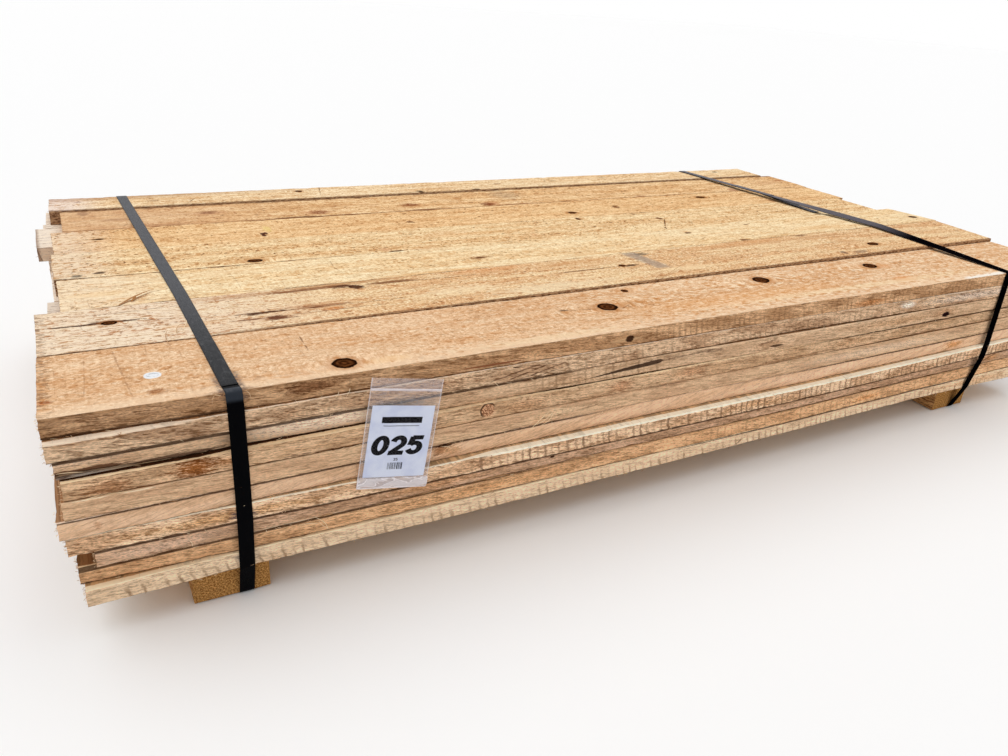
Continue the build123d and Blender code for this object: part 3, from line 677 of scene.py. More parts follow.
def plain_wood():
    """Faces inside the stack and round its other sides, each board with its own tone."""
    m = Mat("cedar_plain", "#eecaa0", 0.82)
    tone, seed, _ = m.own("board")
    flat = m.facing()[2].abs().fade(0.5, 0.8)
    v = m.y * flat + m.z * (1.0 - flat)
    seed = seed * 50.0
    torn = m.noise((m.x + v * 0.25) / 11.0, (v - m.x * 0.16) / 1.9, seed + 3.0, 4.0, 0.68, 0.7)
    lie = torn * 0.6 + m.noise(m.x / 60.0, v / 5.0, seed + 5.0, 3.0, 0.6) * 0.4
    m.paint(m.noise(m.x / 300.0, v / 24.0, seed, 3.0).fade(0.40, 0.60), "#d8ae82")
    m.paint((m.x + (torn - 0.5) * 30.0).fade(70.0, 5.0) * (flat * 0.4 + 0.5), "#f8ecdc")
    m.paint(lie.fade(0.475, 0.395) * 0.7, "#865c3c")
    m.paint(lie.fade(0.53, 0.61) * 0.6, "#fae0b8")
    pitch, stretch = 13.0, 230.0        # mm from one saw mark to the next, and mm with one knot at most
    row = m.x / pitch + v * 0.02
    mark = ((row.fract() - 0.5).abs() * pitch).fade(0.9, 0.2) * m.cell(row.floor()) * (1.0 - flat)
    mark = mark * seed.sin().fade(-0.2, 0.4)
    m.paint(mark * 0.5, "#785234")
    m.paint((m.x + (torn - 0.5) * 12.0).fade(-5.0, -11.0) * 0.6, "#70462e")
    m.paint(((m.z / THICK).fract() - 0.5).abs().fade(0.45, 0.5) * (1.0 - flat) * 0.8, "#3a2216")
    place = m.x / stretch + seed * 3.1
    du = (place.fract() - 0.5) * stretch / 11.0
    dv = (v - (m.cell(place.floor() + 0.5) * 90.0 - 45.0) - m.own("middle")[1]) / 8.0
    knot = (du * du + dv * dv).sqrt() + (torn - 0.5) * 0.8
    m.paint(knot.fade(1.1, 0.9) * m.cell(place.floor() + 7.5).fade(0.6, 0.61), "#54301c")
    m.colour = m.shade(m.colour, tone * 0.26 + 0.9)
    return m.finish(lie * 1.2 - mark, 1.7)


def end_wood():
    """End grain: growth rings round a heart outside the board, sawn rough and furry."""
    m = Mat("cedar_ends", "#cea076", 0.9)
    tone, seed, _ = m.own("board")
    _, cy, cz = m.own("middle")
    dy, dz = m.y - cy + (seed - 0.5) * 120.0, m.z - cz + 70.0 + seed * 60.0
    ring = (dy * dy + dz * dz).sqrt() / 4.6 + m.noise(m.y / 30.0, m.z / 30.0, seed * 40.0) * 1.8
    late = (ring.fract() - 0.55).abs().fade(0.42, 0.1)
    fur = m.noise(m.y / 1.6, m.z / 3.6, seed * 20.0, 4.0, 0.7)
    m.paint(m.noise(m.y / 16.0, m.z / 7.0, seed * 9.0, 3.0, 0.6).fade(0.42, 0.58), "#b28058")
    m.paint(late * 0.85, "#865432")
    m.paint(fur.fade(0.48, 0.36) * 0.5, "#623e28")
    m.paint(fur.fade(0.56, 0.66) * 0.4, "#f4e2ca")
    check = (dy / (dz + 1.0) * 9.0 + seed * 5.0).fract().fade(0.04, 0.0)
    check = check * m.noise(m.y / 16.0, m.z / 9.0, seed, 1.0).fade(0.5, 0.6)
    m.paint(check * 0.7, "#543622")
    m.paint(((m.z / THICK).fract() - 0.5).abs().fade(0.44, 0.5) * 0.7, "#3e2618")
    m.colour = m.shade(m.colour, tone * 0.45 + 0.8)
    return m.finish(fur * 0.9 + late * 0.3 - check * 0.5, 1.4)


def torn_wood():
    """Pale loose fibres and splinters."""
    m = Mat("cedar_splinters", "#aa764a", 0.8)
    m.paint(m.own("board")[0].fade(0.2, 0.9), "#ffe8c2")
    return m.finish(m.noise(m.x / 6.0, m.z / 0.8, m.y / 0.8), 0.3)


def runner_wood():
    """Runner timber: long grain on the sides, speckled golden end grain."""
    m = Mat("runner_wood", "#805430", 0.86)
    _, ny, nz = m.facing()
    end = ny.abs().fade(0.6, 0.85)
    flat = nz.abs().fade(0.5, 0.8)
    fibre = m.noise(m.y / 18.0, (m.x * flat + m.z * (1.0 - flat)) / 2.6, 3.0, 4.0, 0.66, 0.6)
    m.paint(fibre.fade(0.40, 0.58), "#d0a26c")
    speck = m.noise(m.x / 2.1, m.z / 1.9, 9.0, 3.0, 0.72)
    dx, dz = m.x - ((m.x / 700.0).fade(0.9, 1.1) * 1457.0 + 96.0), m.z + 86.0    # from each runner's own heart
    ring = (dx * dx + dz * dz).sqrt() / 4.2 + m.noise(m.x / 26.0, m.z / 26.0, 2.0) * 1.4
    late = (ring.fract() - 0.5).abs().fade(0.4, 0.1)
    face = m.mix(speck.fade(0.40, 0.58), "#7c5026", "#d2a060")
    m.paint(end, m.mix(late * 0.35, face, "#88562c"))
    m.colour = m.shade(m.colour, 1.2)
    m.paint(m.noise(m.x / 40.0, m.z / 20.0, m.y / 60.0).fade(0.55, 0.75) * 0.35, "#604630")
    return m.finish(fibre * (1.0 - end) + speck * end, 1.7)


# ------------------------------------------------------------------ meshes
def grid(rows, cols, flip=False, around=False, closed=False):
    """Four-cornered faces over rows of cols points. around joins each row's end to its start, closed joins the
    last row to the first, and flip turns the faces over."""
    i, j = np.meshgrid(np.arange(rows - 1 + closed), np.arange(cols - 1 + around), indexing="ij")
    row, below, k = i * cols, (i + 1) % rows * cols, (j + 1) % cols
    faces = np.stack([row + j, below + j, below + k, row + k], -1).reshape(-1, 4)
    return (faces[:, [0, 3, 2, 1]] if flip else faces).tolist()


def closed_tube(rings, flip=False):
    """Points and faces of a run of rings, with a fan over each end."""
    n, r = rings.shape[:2]
    last = (n - 1) * r
    fans = [[n * r, j, (j + 1) % r] for j in range(r)] + [[n * r + 1, last + (j + 1) % r, last + j] for j in range(r)]
    co = np.concatenate([rings.reshape(-1, 3), [rings[0].mean(0)], [rings[-1].mean(0)]])
    return co, grid(n, r, flip, around=True) + [f[::-1] if flip else f for f in fans]


class Soup:
    """Vertices and faces gathered for one piece, in stack millimetres. Each point keeps two vectors: board, with
    two random numbers of its board, and middle, with the middle of its board."""

    def __init__(self, name, mats):
        self.name, self.mats = name, mats
        self.co, self.faces, self.index, self.facts, self.count = [], [], [], [], 0

    def add(self, co, faces, index, board=(0.5, 0.5), middle=(0.0, 0.0, 0.0)):
        """faces: lists of vertex numbers within co. index: one material number, or one for each face."""
        co = np.asarray(co, float).reshape(-1, 3)
        self.co.append(co)
        self.faces += [[i + self.count for i in f] for f in faces]
        self.index += [index] * len(faces) if isinstance(index, int) else index
        self.facts.append(np.tile(np.array([*board, 0.0, *middle]), (len(co), 1)))
        self.count += len(co)

    def build(self, slot, *nodes, sharp=38.0):
        """Makes the piece, which replaces these nodes."""
        mesh = bpy.data.meshes.new(self.name)
        mesh.from_pydata(((np.concatenate(self.co) - ORIGIN) / 1000).tolist(), [], self.faces)
        for m in self.mats:
            mesh.materials.append(m)
        mesh.polygons.foreach_set("material_index", self.index)
        facts = np.concatenate(self.facts).astype(np.float32)
        for name, cols in (("board", facts[:, :3]), ("middle", facts[:, 3:])):
            mesh.attributes.new(name, "FLOAT_VECTOR", "POINT").data.foreach_set("vector", cols.ravel())
        mesh.update()
        mesh.shade_smooth()
        mesh.set_sharp_from_angle(angle=math.radians(sharp))
        piece = placed(self.name, mesh)
        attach(piece, "root")
        if nodes:
            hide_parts(*nodes)


def islands(node):
    """The separate solids of a CAD node, each as its own corner points in stack millimetres, front to back."""
    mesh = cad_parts[node].data
    names = [tuple(round(c, 6) for c in v.co) for v in mesh.vertices]
    root = {p: p for p in names}

    def find(p):
        while root[p] != p:
            root[p] = root[root[p]]
            p = root[p]
        return p
    for f in mesh.polygons:
        first = find(names[f.vertices[0]])
        for i in f.vertices[1:]:
            root[find(names[i])] = first
    groups = {}
    for p in root:
        groups.setdefault(find(p), []).append(p)
    return sorted((np.array(g) * 1000 + ORIGIN for g in groups.values()), key=lambda g: g[:, 1].mean())


class Form:
    """A board's shape read from its solid: ends, edges and heights as functions."""

    def __init__(self, points):
        low, top = points[:, 2].min(), points[:, 2].max()
        mid = (points[:, 1].min() + points[:, 1].max()) / 2
        high = points[points[:, 2] > np.median(points[:, 2])]
        near, far = high[high[:, 1] < mid], high[high[:, 1] >= mid]
        if np.ptp(high[:, 2]) > 0.1:    # twisted: only its corners count
            near = near[near[:, 1] < near[:, 1].min() + 1.0]
            far = far[far[:, 1] > far[:, 1].max() - 4.0]
            near, far = (g[[np.argmin(g[:, 0]), np.argmax(g[:, 0])]] for g in (near, far))
        self.near, self.far = near[np.argsort(near[:, 0])], far[np.argsort(far[:, 0])]
        self.left = (self.near[0, 0], self.far[0, 0])
        self.right = (self.near[-1, 0], self.far[-1, 0])
        self.tops = (self.near[0, 2], self.far[0, 2], self.near[-1, 2], self.far[-1, 2])
        twisted = self.tops[2] != self.tops[0] or self.tops[3] != self.tops[0]
        self.thick = (self.tops[0] if twisted else top) - low
        self.middle = ((self.left[0] + self.right[0]) / 2, mid, (low + top) / 2)

    def y_near(self, x):
        return np.interp(x, self.near[:, 0], self.near[:, 1])

    def y_far(self, x):
        return np.interp(x, self.far[:, 0], self.far[:, 1])

    def z_top(self, x, share):
        along = np.clip((x - self.left[0]) / (self.right[0] - self.left[0]), 0, 1)
        a, b, c, d = self.tops
        return (a + (c - a) * along) * (1 - share) + (b + (d - b) * along) * share


FRONT_FACE, TOP_FACE, BACK_FACE, UNDER_FACE, END_FACE = range(5)


def ring(front, ledge, top, back, under, edge=0.9):
    """Points round a board's section: mm from the near edge, share of the rest of the width, mm down from the
    top, share of the rest of the height, outward y and z, and the face that starts at each point. The counts
    are steps up the front, over the top, down the back and under; ledge: mm of extra points near the edge."""
    bevel, slope = edge * 0.3, 0.7
    out = [(0, 0, -edge, 0, -1, 0, FRONT_FACE)]
    out += [(0, 0, 0, i / front, -1, 0, FRONT_FACE) for i in range(1, front)]
    out += [(0, 0, edge, 1, -1, 0, FRONT_FACE), (bevel, 0, bevel, 1, -slope, slope, TOP_FACE)]
    out += [(t, 0, 0, 1, 0, 1, TOP_FACE) for t in (edge, *ledge)]
    reach = ledge[-1] if ledge else edge
    out += [(reach * (1 - i / top), i / top, 0, 1, 0, 1, TOP_FACE) for i in range(1, top)]
    out += [(-edge, 1, 0, 1, 0, 1, TOP_FACE), (-bevel, 1, bevel, 1, slope, slope, BACK_FACE),
            (0, 1, edge, 1, 1, 0, BACK_FACE)]
    out += [(0, 1, 0, 1 - i / back, 1, 0, BACK_FACE) for i in range(1, back)]
    out += [(0, 1, -edge, 0, 1, 0, BACK_FACE), (-bevel, 1, -bevel, 0, slope, -slope, UNDER_FACE),
            (-edge, 1, 0, 0, 0, -1, UNDER_FACE)]
    out += [(0, 1 - i / under, 0, 0, 0, -1, UNDER_FACE) for i in range(1, under)]
    out += [(edge, 0, 0, 0, 0, -1, UNDER_FACE), (bevel, 0, -bevel, 0, -slope, -slope, FRONT_FACE)]
    return np.array(out, float)


def torn_off(x, seed, at, wide):
    """How deep chips of about this width go along an edge; at: two places in the noise."""
    large = np.clip(lump(x / wide[0], seed, at[0]) - 0.30, 0, 1)
    return large, np.clip(lump(x / wide[1], seed, at[1]) - 0.2, 0, 1)


def plank(soup, form, step, section, faces, seed, bumps, ticks=None, wane=0.0, tear=0.0, gap=0.5, grow=(0.0, 0.0),
          above=None):
    """One sawn board: a section carried along the length, roughened, with furry ends. faces: the material of
    each face. bumps: relief of the sides and of the flats. wane and tear: bark edge at the left end, and
    fibres hanging from the lower edge. above: the form over it, kept as how far that one stands out beyond
    this one in the first value of the middle attribute."""
    a, b = sum(form.left) / 2, sum(form.right) / 2
    xs = np.concatenate(([a, a + 0.8], np.arange(math.ceil((a + 2.5) / step) * step, b - 2.5, step), [b - 0.8, b]))
    in_mm, in_share, down, height, ny, nz, part = section.T
    y0, y1 = form.y_near(xs)[:, None] - grow[0], form.y_far(xs)[:, None] + grow[1]
    inward = in_mm + in_share * (y1 - y0)
    Y = y0 + inward
    X = np.repeat(xs[:, None], len(section), 1)
    share = np.clip((Y - y0) / (y1 - y0), 0, 1)
    thick = form.thick
    foot = form.z_top(X, share) - thick
    gaps = gap * (0.4 + 0.6 * lump(X / 130, Y / 40, seed)) * window(share, -1, 1, 1)
    Z = foot + height * thick - down - gaps * (height > 0.9) + gaps * (height < 0.1) * 0.6
    skew_l = (1 - share) * form.left[0] + share * form.left[1] - a
    skew_r = (1 - share) * form.right[0] + share * form.right[1] - b
    X = X + skew_l * np.clip(1 - (X - a) / 60, 0, 1) + skew_r * np.clip(1 - (b - X) / 60, 0, 1)
    w = (Z - foot) / thick
    rough = bumps[0] * (0.6 * lump(X / 34, Z / 8, seed + 3) + 0.4 * lump(X / 8, Z / 3, seed + 5))
    flat = bumps[1] * (0.6 * lump(X / 40, Y / 16, seed + 7) + 0.4 * lump(X / 9, Y / 7, seed + 9))
    large, small = torn_off(X, seed, (3.0, 8.0), (22, 6.5))
    corner = np.clip((w - 0.86) / 0.14, 0, 1) * (large * 2.6 + small * 0.9)
    large, small = torn_off(X, seed, (5.0, 9.0), (26, 7.5))
    corner = corner + np.clip((0.14 - w) / 0.14, 0, 1) * (large * 2.4 + small * 0.8)
    near = ny < -0.5
    inset = np.where(np.abs(ny) > 0.5, rough - corner * 0.8, 0.0)
    if ticks:
        pitch, lo, hi, deep = ticks
        row = X / pitch + w * THICK * 0.012 + (w * THICK - 12) ** 2 * 0.0006
        cell = np.abs(lump(np.floor(row) * 7.31, seed, 1.0))
        pulse = np.clip(1 - np.abs(row - np.floor(row) - 0.5) * pitch / 3.4, 0, 1) * (0.4 + cell)
        pulse = near * pulse * deep * window(X, lo, hi, 60)
        inset = inset - pulse * 0.6
        Z = Z + pulse * (np.clip((0.2 - w) / 0.2, 0, 1) - np.clip((w - 0.8) / 0.2, 0, 1)) * 0.7
    if wane:
        cut = np.interp(X, (-30, 20, 60, 110), (11, 9, 4, 0)) * (1 + 0.4 * lump(X / 26, seed))
        inset = inset - near * np.clip(cut - w * thick, 0, None) * wane
    if tear:
        wave = np.clip(0.35 + 0.8 * lump(X / 30, seed, 4.0) + 0.5 * lump(X / 9, seed, 6.0), 0, 1.3) * tear
        Z = Z + wave * ((near | (np.abs(in_mm - 0.9) < 0.7)) & (in_share == 0)) * np.clip(1 - w / 0.4, 0, 1)
    Y = Y + ny * inset
    Z = Z + nz * flat - (nz > 0.3) * corner * np.clip(1 - np.abs(in_mm) / 3.0, 0, 1) * 0.7
    for k, scale in ((0, 1.2), (-1, -1.2)):
        fur = 0.5 * lump(Y[k] / 5, Z[k] / 4, seed + 11) + 0.5 * lump(Y[k] / 1.7, Z[k] / 1.5, seed + 13)
        X[k] += scale * fur
    n, r = X.shape
    co, quads = closed_tube(np.stack([X, Y, Z], -1))
    index = [faces[int(p)] for p in part] * (n - 1) + [faces[END_FACE]] * (2 * r)
    rnd = random.Random(int(seed * 97))
    soup.add(co, quads, index, (rnd.random(), rnd.random()), form.middle)
    facts = soup.facts[-1][:-2]
    facts[:, 2] = inward.ravel()
    if above:
        facts[:, 3] = np.repeat(np.clip(y0[:, 0] - above.y_near(xs), 0, 30), r)


def sliver(soup, points, wide, flat, index, tone):
    """A thin torn splinter along points, tapering to both ends; wide and flat in mm."""
    pts = np.asarray(points, float)
    n = len(pts)
    t = np.gradient(pts, axis=0)
    t /= np.linalg.norm(t, axis=1)[:, None]
    side = np.cross(t, (0.13, 0.31, 0.94))      # a direction that no splinter follows
    side /= np.linalg.norm(side, axis=1)[:, None]
    lift = np.cross(side, t) * flat / 2
    side = side * wide / 2
    size = np.sin(np.linspace(0.12, 0.94, n) * math.pi)[:, None]
    co = np.stack([pts - size * side, pts + size * lift, pts + size * side, pts - size * lift], 1)
    faces = grid(n, 4, flip=True, around=True) + [[3, 2, 1, 0], [(n - 1) * 4 + j for j in range(4)]]
    soup.add(co, faces, index, (min(tone, 0.99), 0.5))


def arc(a, b, lift, n):
    """n points from a to b bowed by the vector lift."""
    a, b, lift = (np.asarray(v, float) for v in (a, b, lift))
    return [a + (b - a) * t + lift * 4 * t * (1 - t) for t in np.linspace(0, 1, n)]


# ------------------------------------------------------------------ boards
PLAIN, ENDS, SPLINTERS, FIRST_TOP = 1, 2, 3, 4      # material numbers after the front's own, 0
shared = [plain_wood(), end_wood(), torn_wood()]
top_mats = [sawn_top(f"cedar_top_{k + 1}", **spec) for k, spec in enumerate(TOPS)]
forms = []
NEAR_ROWS = (2.2, 4.2, 6.6, 9.5, 13.0, 17.0, 22.0)
FRONT_STEP, TOP_STEP, HIDDEN_STEP = 3.2, 7.0, 18.0  # mm from one section to the next
WANE, TEAR, GAP = {3: 1.1}, {2: 1.2, 4: 1.0, 7: 2.6, 8: 2.8, 9: 1.8}, {5: 0.9, 3: 0.9, 2: 0.8}
GROW = {3: (0.0, 0.6), 4: (0.6, 0.0)}   # top boards whose seam is tighter than in the solids

# Loose splinters where the torn edges throw them: layer, start, end, bow, width, tone
CURLS = rows("""1 82 313 248.8 133 361 250.4 0 2 1.4 5.2 .3, 1 99 322 248.8 107 337 251.4 1 0 1 3.4 .1,
    1 90 321 249 128 352 250.8 2 0 1 2.4 .95, 1 139 181 248.4 154 219 250.5 -5 0 2 1.3 .5,
    1 126 150 248.4 130 199 250.2 -4 0 2 1.1 .4, 1 147 196 248.4 156 226 250 3 0 3 1.1 .7,
    1 892 163 248.5 1014 226 252 8 0 3 1 .25, 1 888 160 248.5 940 196 250 -3 0 2 .9 .3,
    1 1194 512 248.6 1139 441 250 0 0 1 1.2 .1, 1 1700 196 248.6 1764 216 251 0 0 2 1.2 .5,
    4 -4 -1.2 143 24 -3.4 150 0 -1 1.5 2 1, 4 22 -1.4 148 56 -2.6 146.5 0 -1.2 1 1.8 .95,
    4 288 -1 142 324 -3.4 150 0 -1 1.5 2 1, 4 262 -1 148 290 -2.4 147 0 -.6 .6 1.4 .9,
    5 570 -2 120 597 -7 147 -4 -2 0 2 1, 5 575 -2 124 598 -9 146 3 -3 0 1.4 .95,
    5 597 -7 147 622 -6 144 0 -2 2 1.7 1, 5 583 -2 121 600 -6 141 5 -2 0 1.3 .9,
    5 430 -1.4 121 446 -3 114 2 -2 2 1.2 1, 8 256 -1.2 55 272 -4 34 4 -1.5 1 1.3 .9,
    8 262 -1.2 48 276 -3.2 32 -3 -1.5 1 1.1 .8, 8 236 -1 48 262 -3 44 0 -1 2 1.3 1,
    2 40 -1 200 50 -3.4 209 0 -1 1 1.3 .9, 2 502 -1.2 206 512 -4 196 0 -1 1 1.2 .8,
    2 -24 4 206 -18 -1 218 -1 -1 0 1.6 .9, 2 -23 6 212 -14 0 222 -1 -1 0 1.5 1,
    3 -16 -1 184 10 -1.8 181 0 -.8 1.2 2.4 .9, 9 104 -1 66 108 -4 55 2 -1 0 1.1 .9,
    1 184 -.6 247 188 -6 238 1 -1 2 .9 .6, 1 150 -.6 247 146 -5 239 -1 -1 2 .9 .5,
    1 158 -.6 247 152 -7 243 -1 -1 2 .9 .4, 1 192 -.6 247 199 -5 242 1 -1 2 .9 .5,
    1 306 -.6 229 300 -4 220 1 -1 1 1 .9, 1 292 -.6 227 286 -3 219 1 -1 1 1 .8""")


def rested(point):
    """The point, raised by as much as the top board under it stands above its neighbours."""
    x, y, z = point
    for form in forms[:len(TOPS)]:
        near, far = float(form.y_near(x)), float(form.y_far(x))
        if z > STACK and near <= y <= far:
            z += float(form.z_top(x, (y - near) / (far - near))) - STACK
    return x, y, z


def whiskers(soup, form, seed, many):
    """Fine torn fibres along the front edges and the sawn ends."""
    rnd = random.Random(int(seed * 31) + 5)
    a, b = form.left[0], form.right[0]
    for _ in range(many):
        at_end = rnd.random() < 0.3
        high = rnd.random() < 0.4
        x = rnd.choice((a - 0.4, b + 0.4)) if at_end else rnd.uniform(a + 4, b - 6)
        y = rnd.uniform(0, 30) + float(form.y_near(x)) if at_end else float(form.y_near(x)) - 0.2
        z = float(form.z_top(x, 0.0))
        if at_end:
            z -= rnd.uniform(2, form.thick - 1)
            out = (math.copysign(rnd.uniform(1, 3.5), x - 900), rnd.uniform(-1.5, 1), rnd.uniform(-3, 2))
        else:
            z -= 1.0 if high else form.thick - 0.8
            out = (rnd.uniform(-9, 9), -rnd.uniform(0.4, 2.6), rnd.uniform(-3.5, 1.5))
        start = np.array((x, y, z))
        path = arc(start, start + out, (rnd.uniform(-1, 1), -0.4, rnd.uniform(-0.8, 1)), 5)
        sliver(soup, path, rnd.uniform(0.5, 1.0), 0.5, SPLINTERS, rnd.uniform(0.2, 1))


for number in range(LAYERS):
    name, spec = f"board_layer_{number + 1:02d}", FRONT[number]
    soup = Soup(f"boards_{number + 1:02d}", [front_wood(number, **spec), *shared, *(() if number else top_mats)])
    front_above = forms[-len(solids)] if number else None
    solids = islands(name)
    for i, points in enumerate(solids):
        form = Form(points)
        if number == LAYERS - 1 and i == 0:     # its right end turns out a little, towards the strap
            form.near[-1, 1] -= 9.0
        forms.append(form)
        seed = number * 7.7 + i * 3.1 + 0.5
        whiskers(soup, form, seed, (14 if number < 2 else 0) if i else 110)
        top = FIRST_TOP + i if number == 0 else PLAIN
        if i == 0:
            pitch, lo, hi, strong, _ = spec.get("ticks", (0.0,) * 5)
            plank(soup, form, FRONT_STEP, ring(10, NEAR_ROWS, 4 if number else 14, 3, 4),
                  (0, 0 if number else top, PLAIN, PLAIN, ENDS), seed, (0.7, 0.3) if number else (0.6, 0.25),
                  (pitch, lo, hi, strong * 0.7) if strong > 0.5 else None, WANE.get(number + 1, 0.0),
                  TEAR.get(number + 1, 0.4), GAP.get(number + 1, 0.5), above=front_above)
        elif number == 0:
            plank(soup, form, TOP_STEP, ring(4, (2.5, 6.0), 14, 4, 4), (top, top, PLAIN, PLAIN, ENDS), seed,
                  (0.9, 0.3), grow=GROW.get(i, (0.0, 0.0)))
        else:
            plank(soup, form, HIDDEN_STEP, ring(3, (), 4, 3, 4), (PLAIN, PLAIN, PLAIN, PLAIN, ENDS), seed, (0.5, 0.3))
    for layer, *values, wide, tone in CURLS:
        if layer == number + 1:
            path = arc(rested(values[:3]), rested(values[3:6]), values[6:], 9)
            sliver(soup, path, wide, min(wide * 0.6, 0.9), SPLINTERS, tone)
    soup.build("cedar", name)


# ------------------------------------------------------------------ runners
SETBACK, RUNNER_HIGH = 19.0, 50.0
RUNNERS = {"runner_left": (105.0, 201.0), "runner_right": (1562.0, 1658.0)}
runner_mat = runner_wood()


def outline(corners):
    """Points along a closed outline, close together by its corners, each with the outward direction."""
    out = []
    for (ax, az), (bx, bz) in zip(corners, corners[1:] + corners[:1]):
        long = math.hypot(bx - ax, bz - az)
        ux, uz = (bx - ax) / long, (bz - az) / long
        for s in (1.6, 4.0, *np.linspace(9, long - 9, 6 if long > 60 else 4), long - 4.0, long - 1.6):
            out.append((ax + ux * s, az + uz * s, uz, -ux))
    return np.array(out)


for k, (name, (x0, x1)) in enumerate(RUNNERS.items()):
    inner = np.arange(SETBACK + 5, DEPTH - SETBACK - 3, 6.0)
    ys = np.concatenate(([SETBACK, SETBACK + 0.8], inner, [DEPTH - SETBACK - 0.8, DEPTH - SETBACK]))
    x, z, nx, nz = outline(((x0, -RUNNER_HIGH), (x1, -RUNNER_HIGH), (x1, 0.0), (x0, 0.0))).T
    Y = np.repeat(ys[:, None], len(x), 1)
    dent = 0.5 * lump(Y / 30, x / 9, z / 9 + k * 5) + 0.3 * lump(Y / 7, x / 3, z / 3) - 0.35
    dent = np.where(nz > 0.5, 0.0, dent)
    if name == "runner_right":      # a crack opens along its left face
        crack = np.exp(-((z + 32.0) / 1.6) ** 2) * (nx < -0.5) * 4.0
        dent = dent - crack * window(Y, -50, 400, 200)
    X, Z = x + nx * dent, z + nz * dent
    Y[0] += 0.6 * lump(X[0] / 4, Z[0] / 4, 3.0 + k)
    soup = Soup(name + "_wood", [runner_mat])
    soup.add(*closed_tube(np.stack([X, Y, Z], -1), flip=True), 0)
    soup.build("runner_wood", name)


# ------------------------------------------------------------------ straps
BAND, PLY = 19.0, 0.9       # width and thickness
MIDWAY = 1300.0, 1310.0     # x between the two bands


def strap_plastic():
    """Embossed polyester band: black on its upright faces; where it looks up a painted sheen of slate grey, with dust
    and scuffs;
    a painted highlight on the left band's bend. The near end of the right band is black all round, painted shade."""
    m = Mat("strap_plastic", "#030305", 0.4)
    s, t, _ = m.own("middle")
    a, b = ((s + t) / 1.9).fract() - 0.5, ((s - t) / 1.9).fract() - 0.5
    emboss = a.abs().max(b.abs()).fade(0.30, 0.46)
    scuff = m.noise(s / 60.0, t / 1.1, 2.0, 4.0, 0.7)
    dust = m.noise(s / 9.0, t / 5.0, 7.0, 3.0, 0.6)
    up = m.facing()[2]
    on_right, on_left = m.x.fade(*MIDWAY), m.x.fade(*MIDWAY[::-1])
    # painted shade: the near end of the right band stays black where it looks up
    near = on_right * m.y.fade(330.0, 210.0)
    # painted sheen of the sky on the up-facing faces: slate grey, paler further back, with dust
    slate = m.mix(m.y.fade(20.0, 420.0), "#141519", "#46474c")
    slate = m.mix(m.noise(s / 16.0, t / 3.0, 11.0, 3.0, 0.7).fade(0.42, 0.62) * 0.5, slate, m.shade(slate, 0.55))
    slate = m.mix(dust.fade(0.5, 0.7) * 0.35, slate, "#68686a")
    slate = m.mix(on_right * 0.7, slate, "#585058")
    m.paint(up.fade(0.5, 0.95), m.mix(near, slate, "#070508"))
    # painted highlight where the left band bends over the front edge
    bend = m.y.fade(14.0, 10.0) * m.z.fade(234.0, 240.0) * on_left * m.own("board")[0]
    m.paint(bend * 0.85, "#4c525c")
    m.paint(scuff.fade(0.56, 0.72) * up.fade(0.3, 0.9) * 0.4 * (1.0 - near), "#74767a")
    m.paint(t.abs().fade(7.6, 9.0) * up.fade(0.5, 0.9) * 0.5, "#1a1a1e")
    # painted shadow at the end of the top ply of the left band
    m.paint(m.y.between(8.4, 17.4, 0.8) * on_left * m.z.fade(244.0, 246.0), "#020204")
    m.set("Specular IOR Level", (up.fade(0.2, 0.9) * 0.07 + 0.02) * (1.0 - near))
    m.set("Roughness", scuff * 0.2 + dust.fade(0.4, 0.8) * 0.18 + 0.28)
    return m.finish(emboss * -0.6 + scuff * 0.5, 0.16)


def hull(points):
    """The corners of the convex outline round the points, counter-clockwise."""
    def half(ordered):
        chain = []
        for p in ordered:
            while len(chain) > 1 and ((chain[-1][0] - chain[-2][0]) * (p[1] - chain[-2][1])
                                      - (chain[-1][1] - chain[-2][1]) * (p[0] - chain[-2][0])) <= 1e-6:
                chain.pop()
            chain.append(p)
        return chain[:-1]
    ordered = sorted(set((round(a, 2), round(b, 2)) for a, b in points))
    return half(ordered) + half(ordered[::-1])


def round_off(corners, radius, clear):
    """Offset closed outline with its corners turned into short bends; corners run counter-clockwise."""
    out, n = [], len(corners)
    for i in range(n):
        p0, p, p1 = (np.array(corners[k % n], float) for k in (i - 1, i, i + 1))
        u, v = p - p0, p1 - p
        lu, lv = np.linalg.norm(u), np.linalg.norm(v)
        u, v = u / lu, v / lv
        turn = math.acos(max(-1, min(1, float(u @ v))))
        push = np.array((u[1] + v[1], -u[0] - v[0]))
        push = push / np.linalg.norm(push) * clear / math.cos(turn / 2)
        reach = min(radius * math.tan(turn / 2) + 0.4, 0.45 * lu, 0.45 * lv)
        a, b, c = p + push - u * reach, p + push, p + push + v * reach
        for s in np.linspace(0, 1, 2 + int(math.degrees(turn) / 9)):
            out.append((1 - s) ** 2 * a + 2 * s * (1 - s) * b + s * s * c)
    return out


def subdivide(loop, longest):
    """The closed loop with no step longer than this."""
    out = []
    for a, b in zip(loop, loop[1:] + loop[:1]):
        n = max(1, math.ceil(np.linalg.norm(b - a) / longest))
        out += [a + (b - a) * k / n for k in range(n)]
    return out


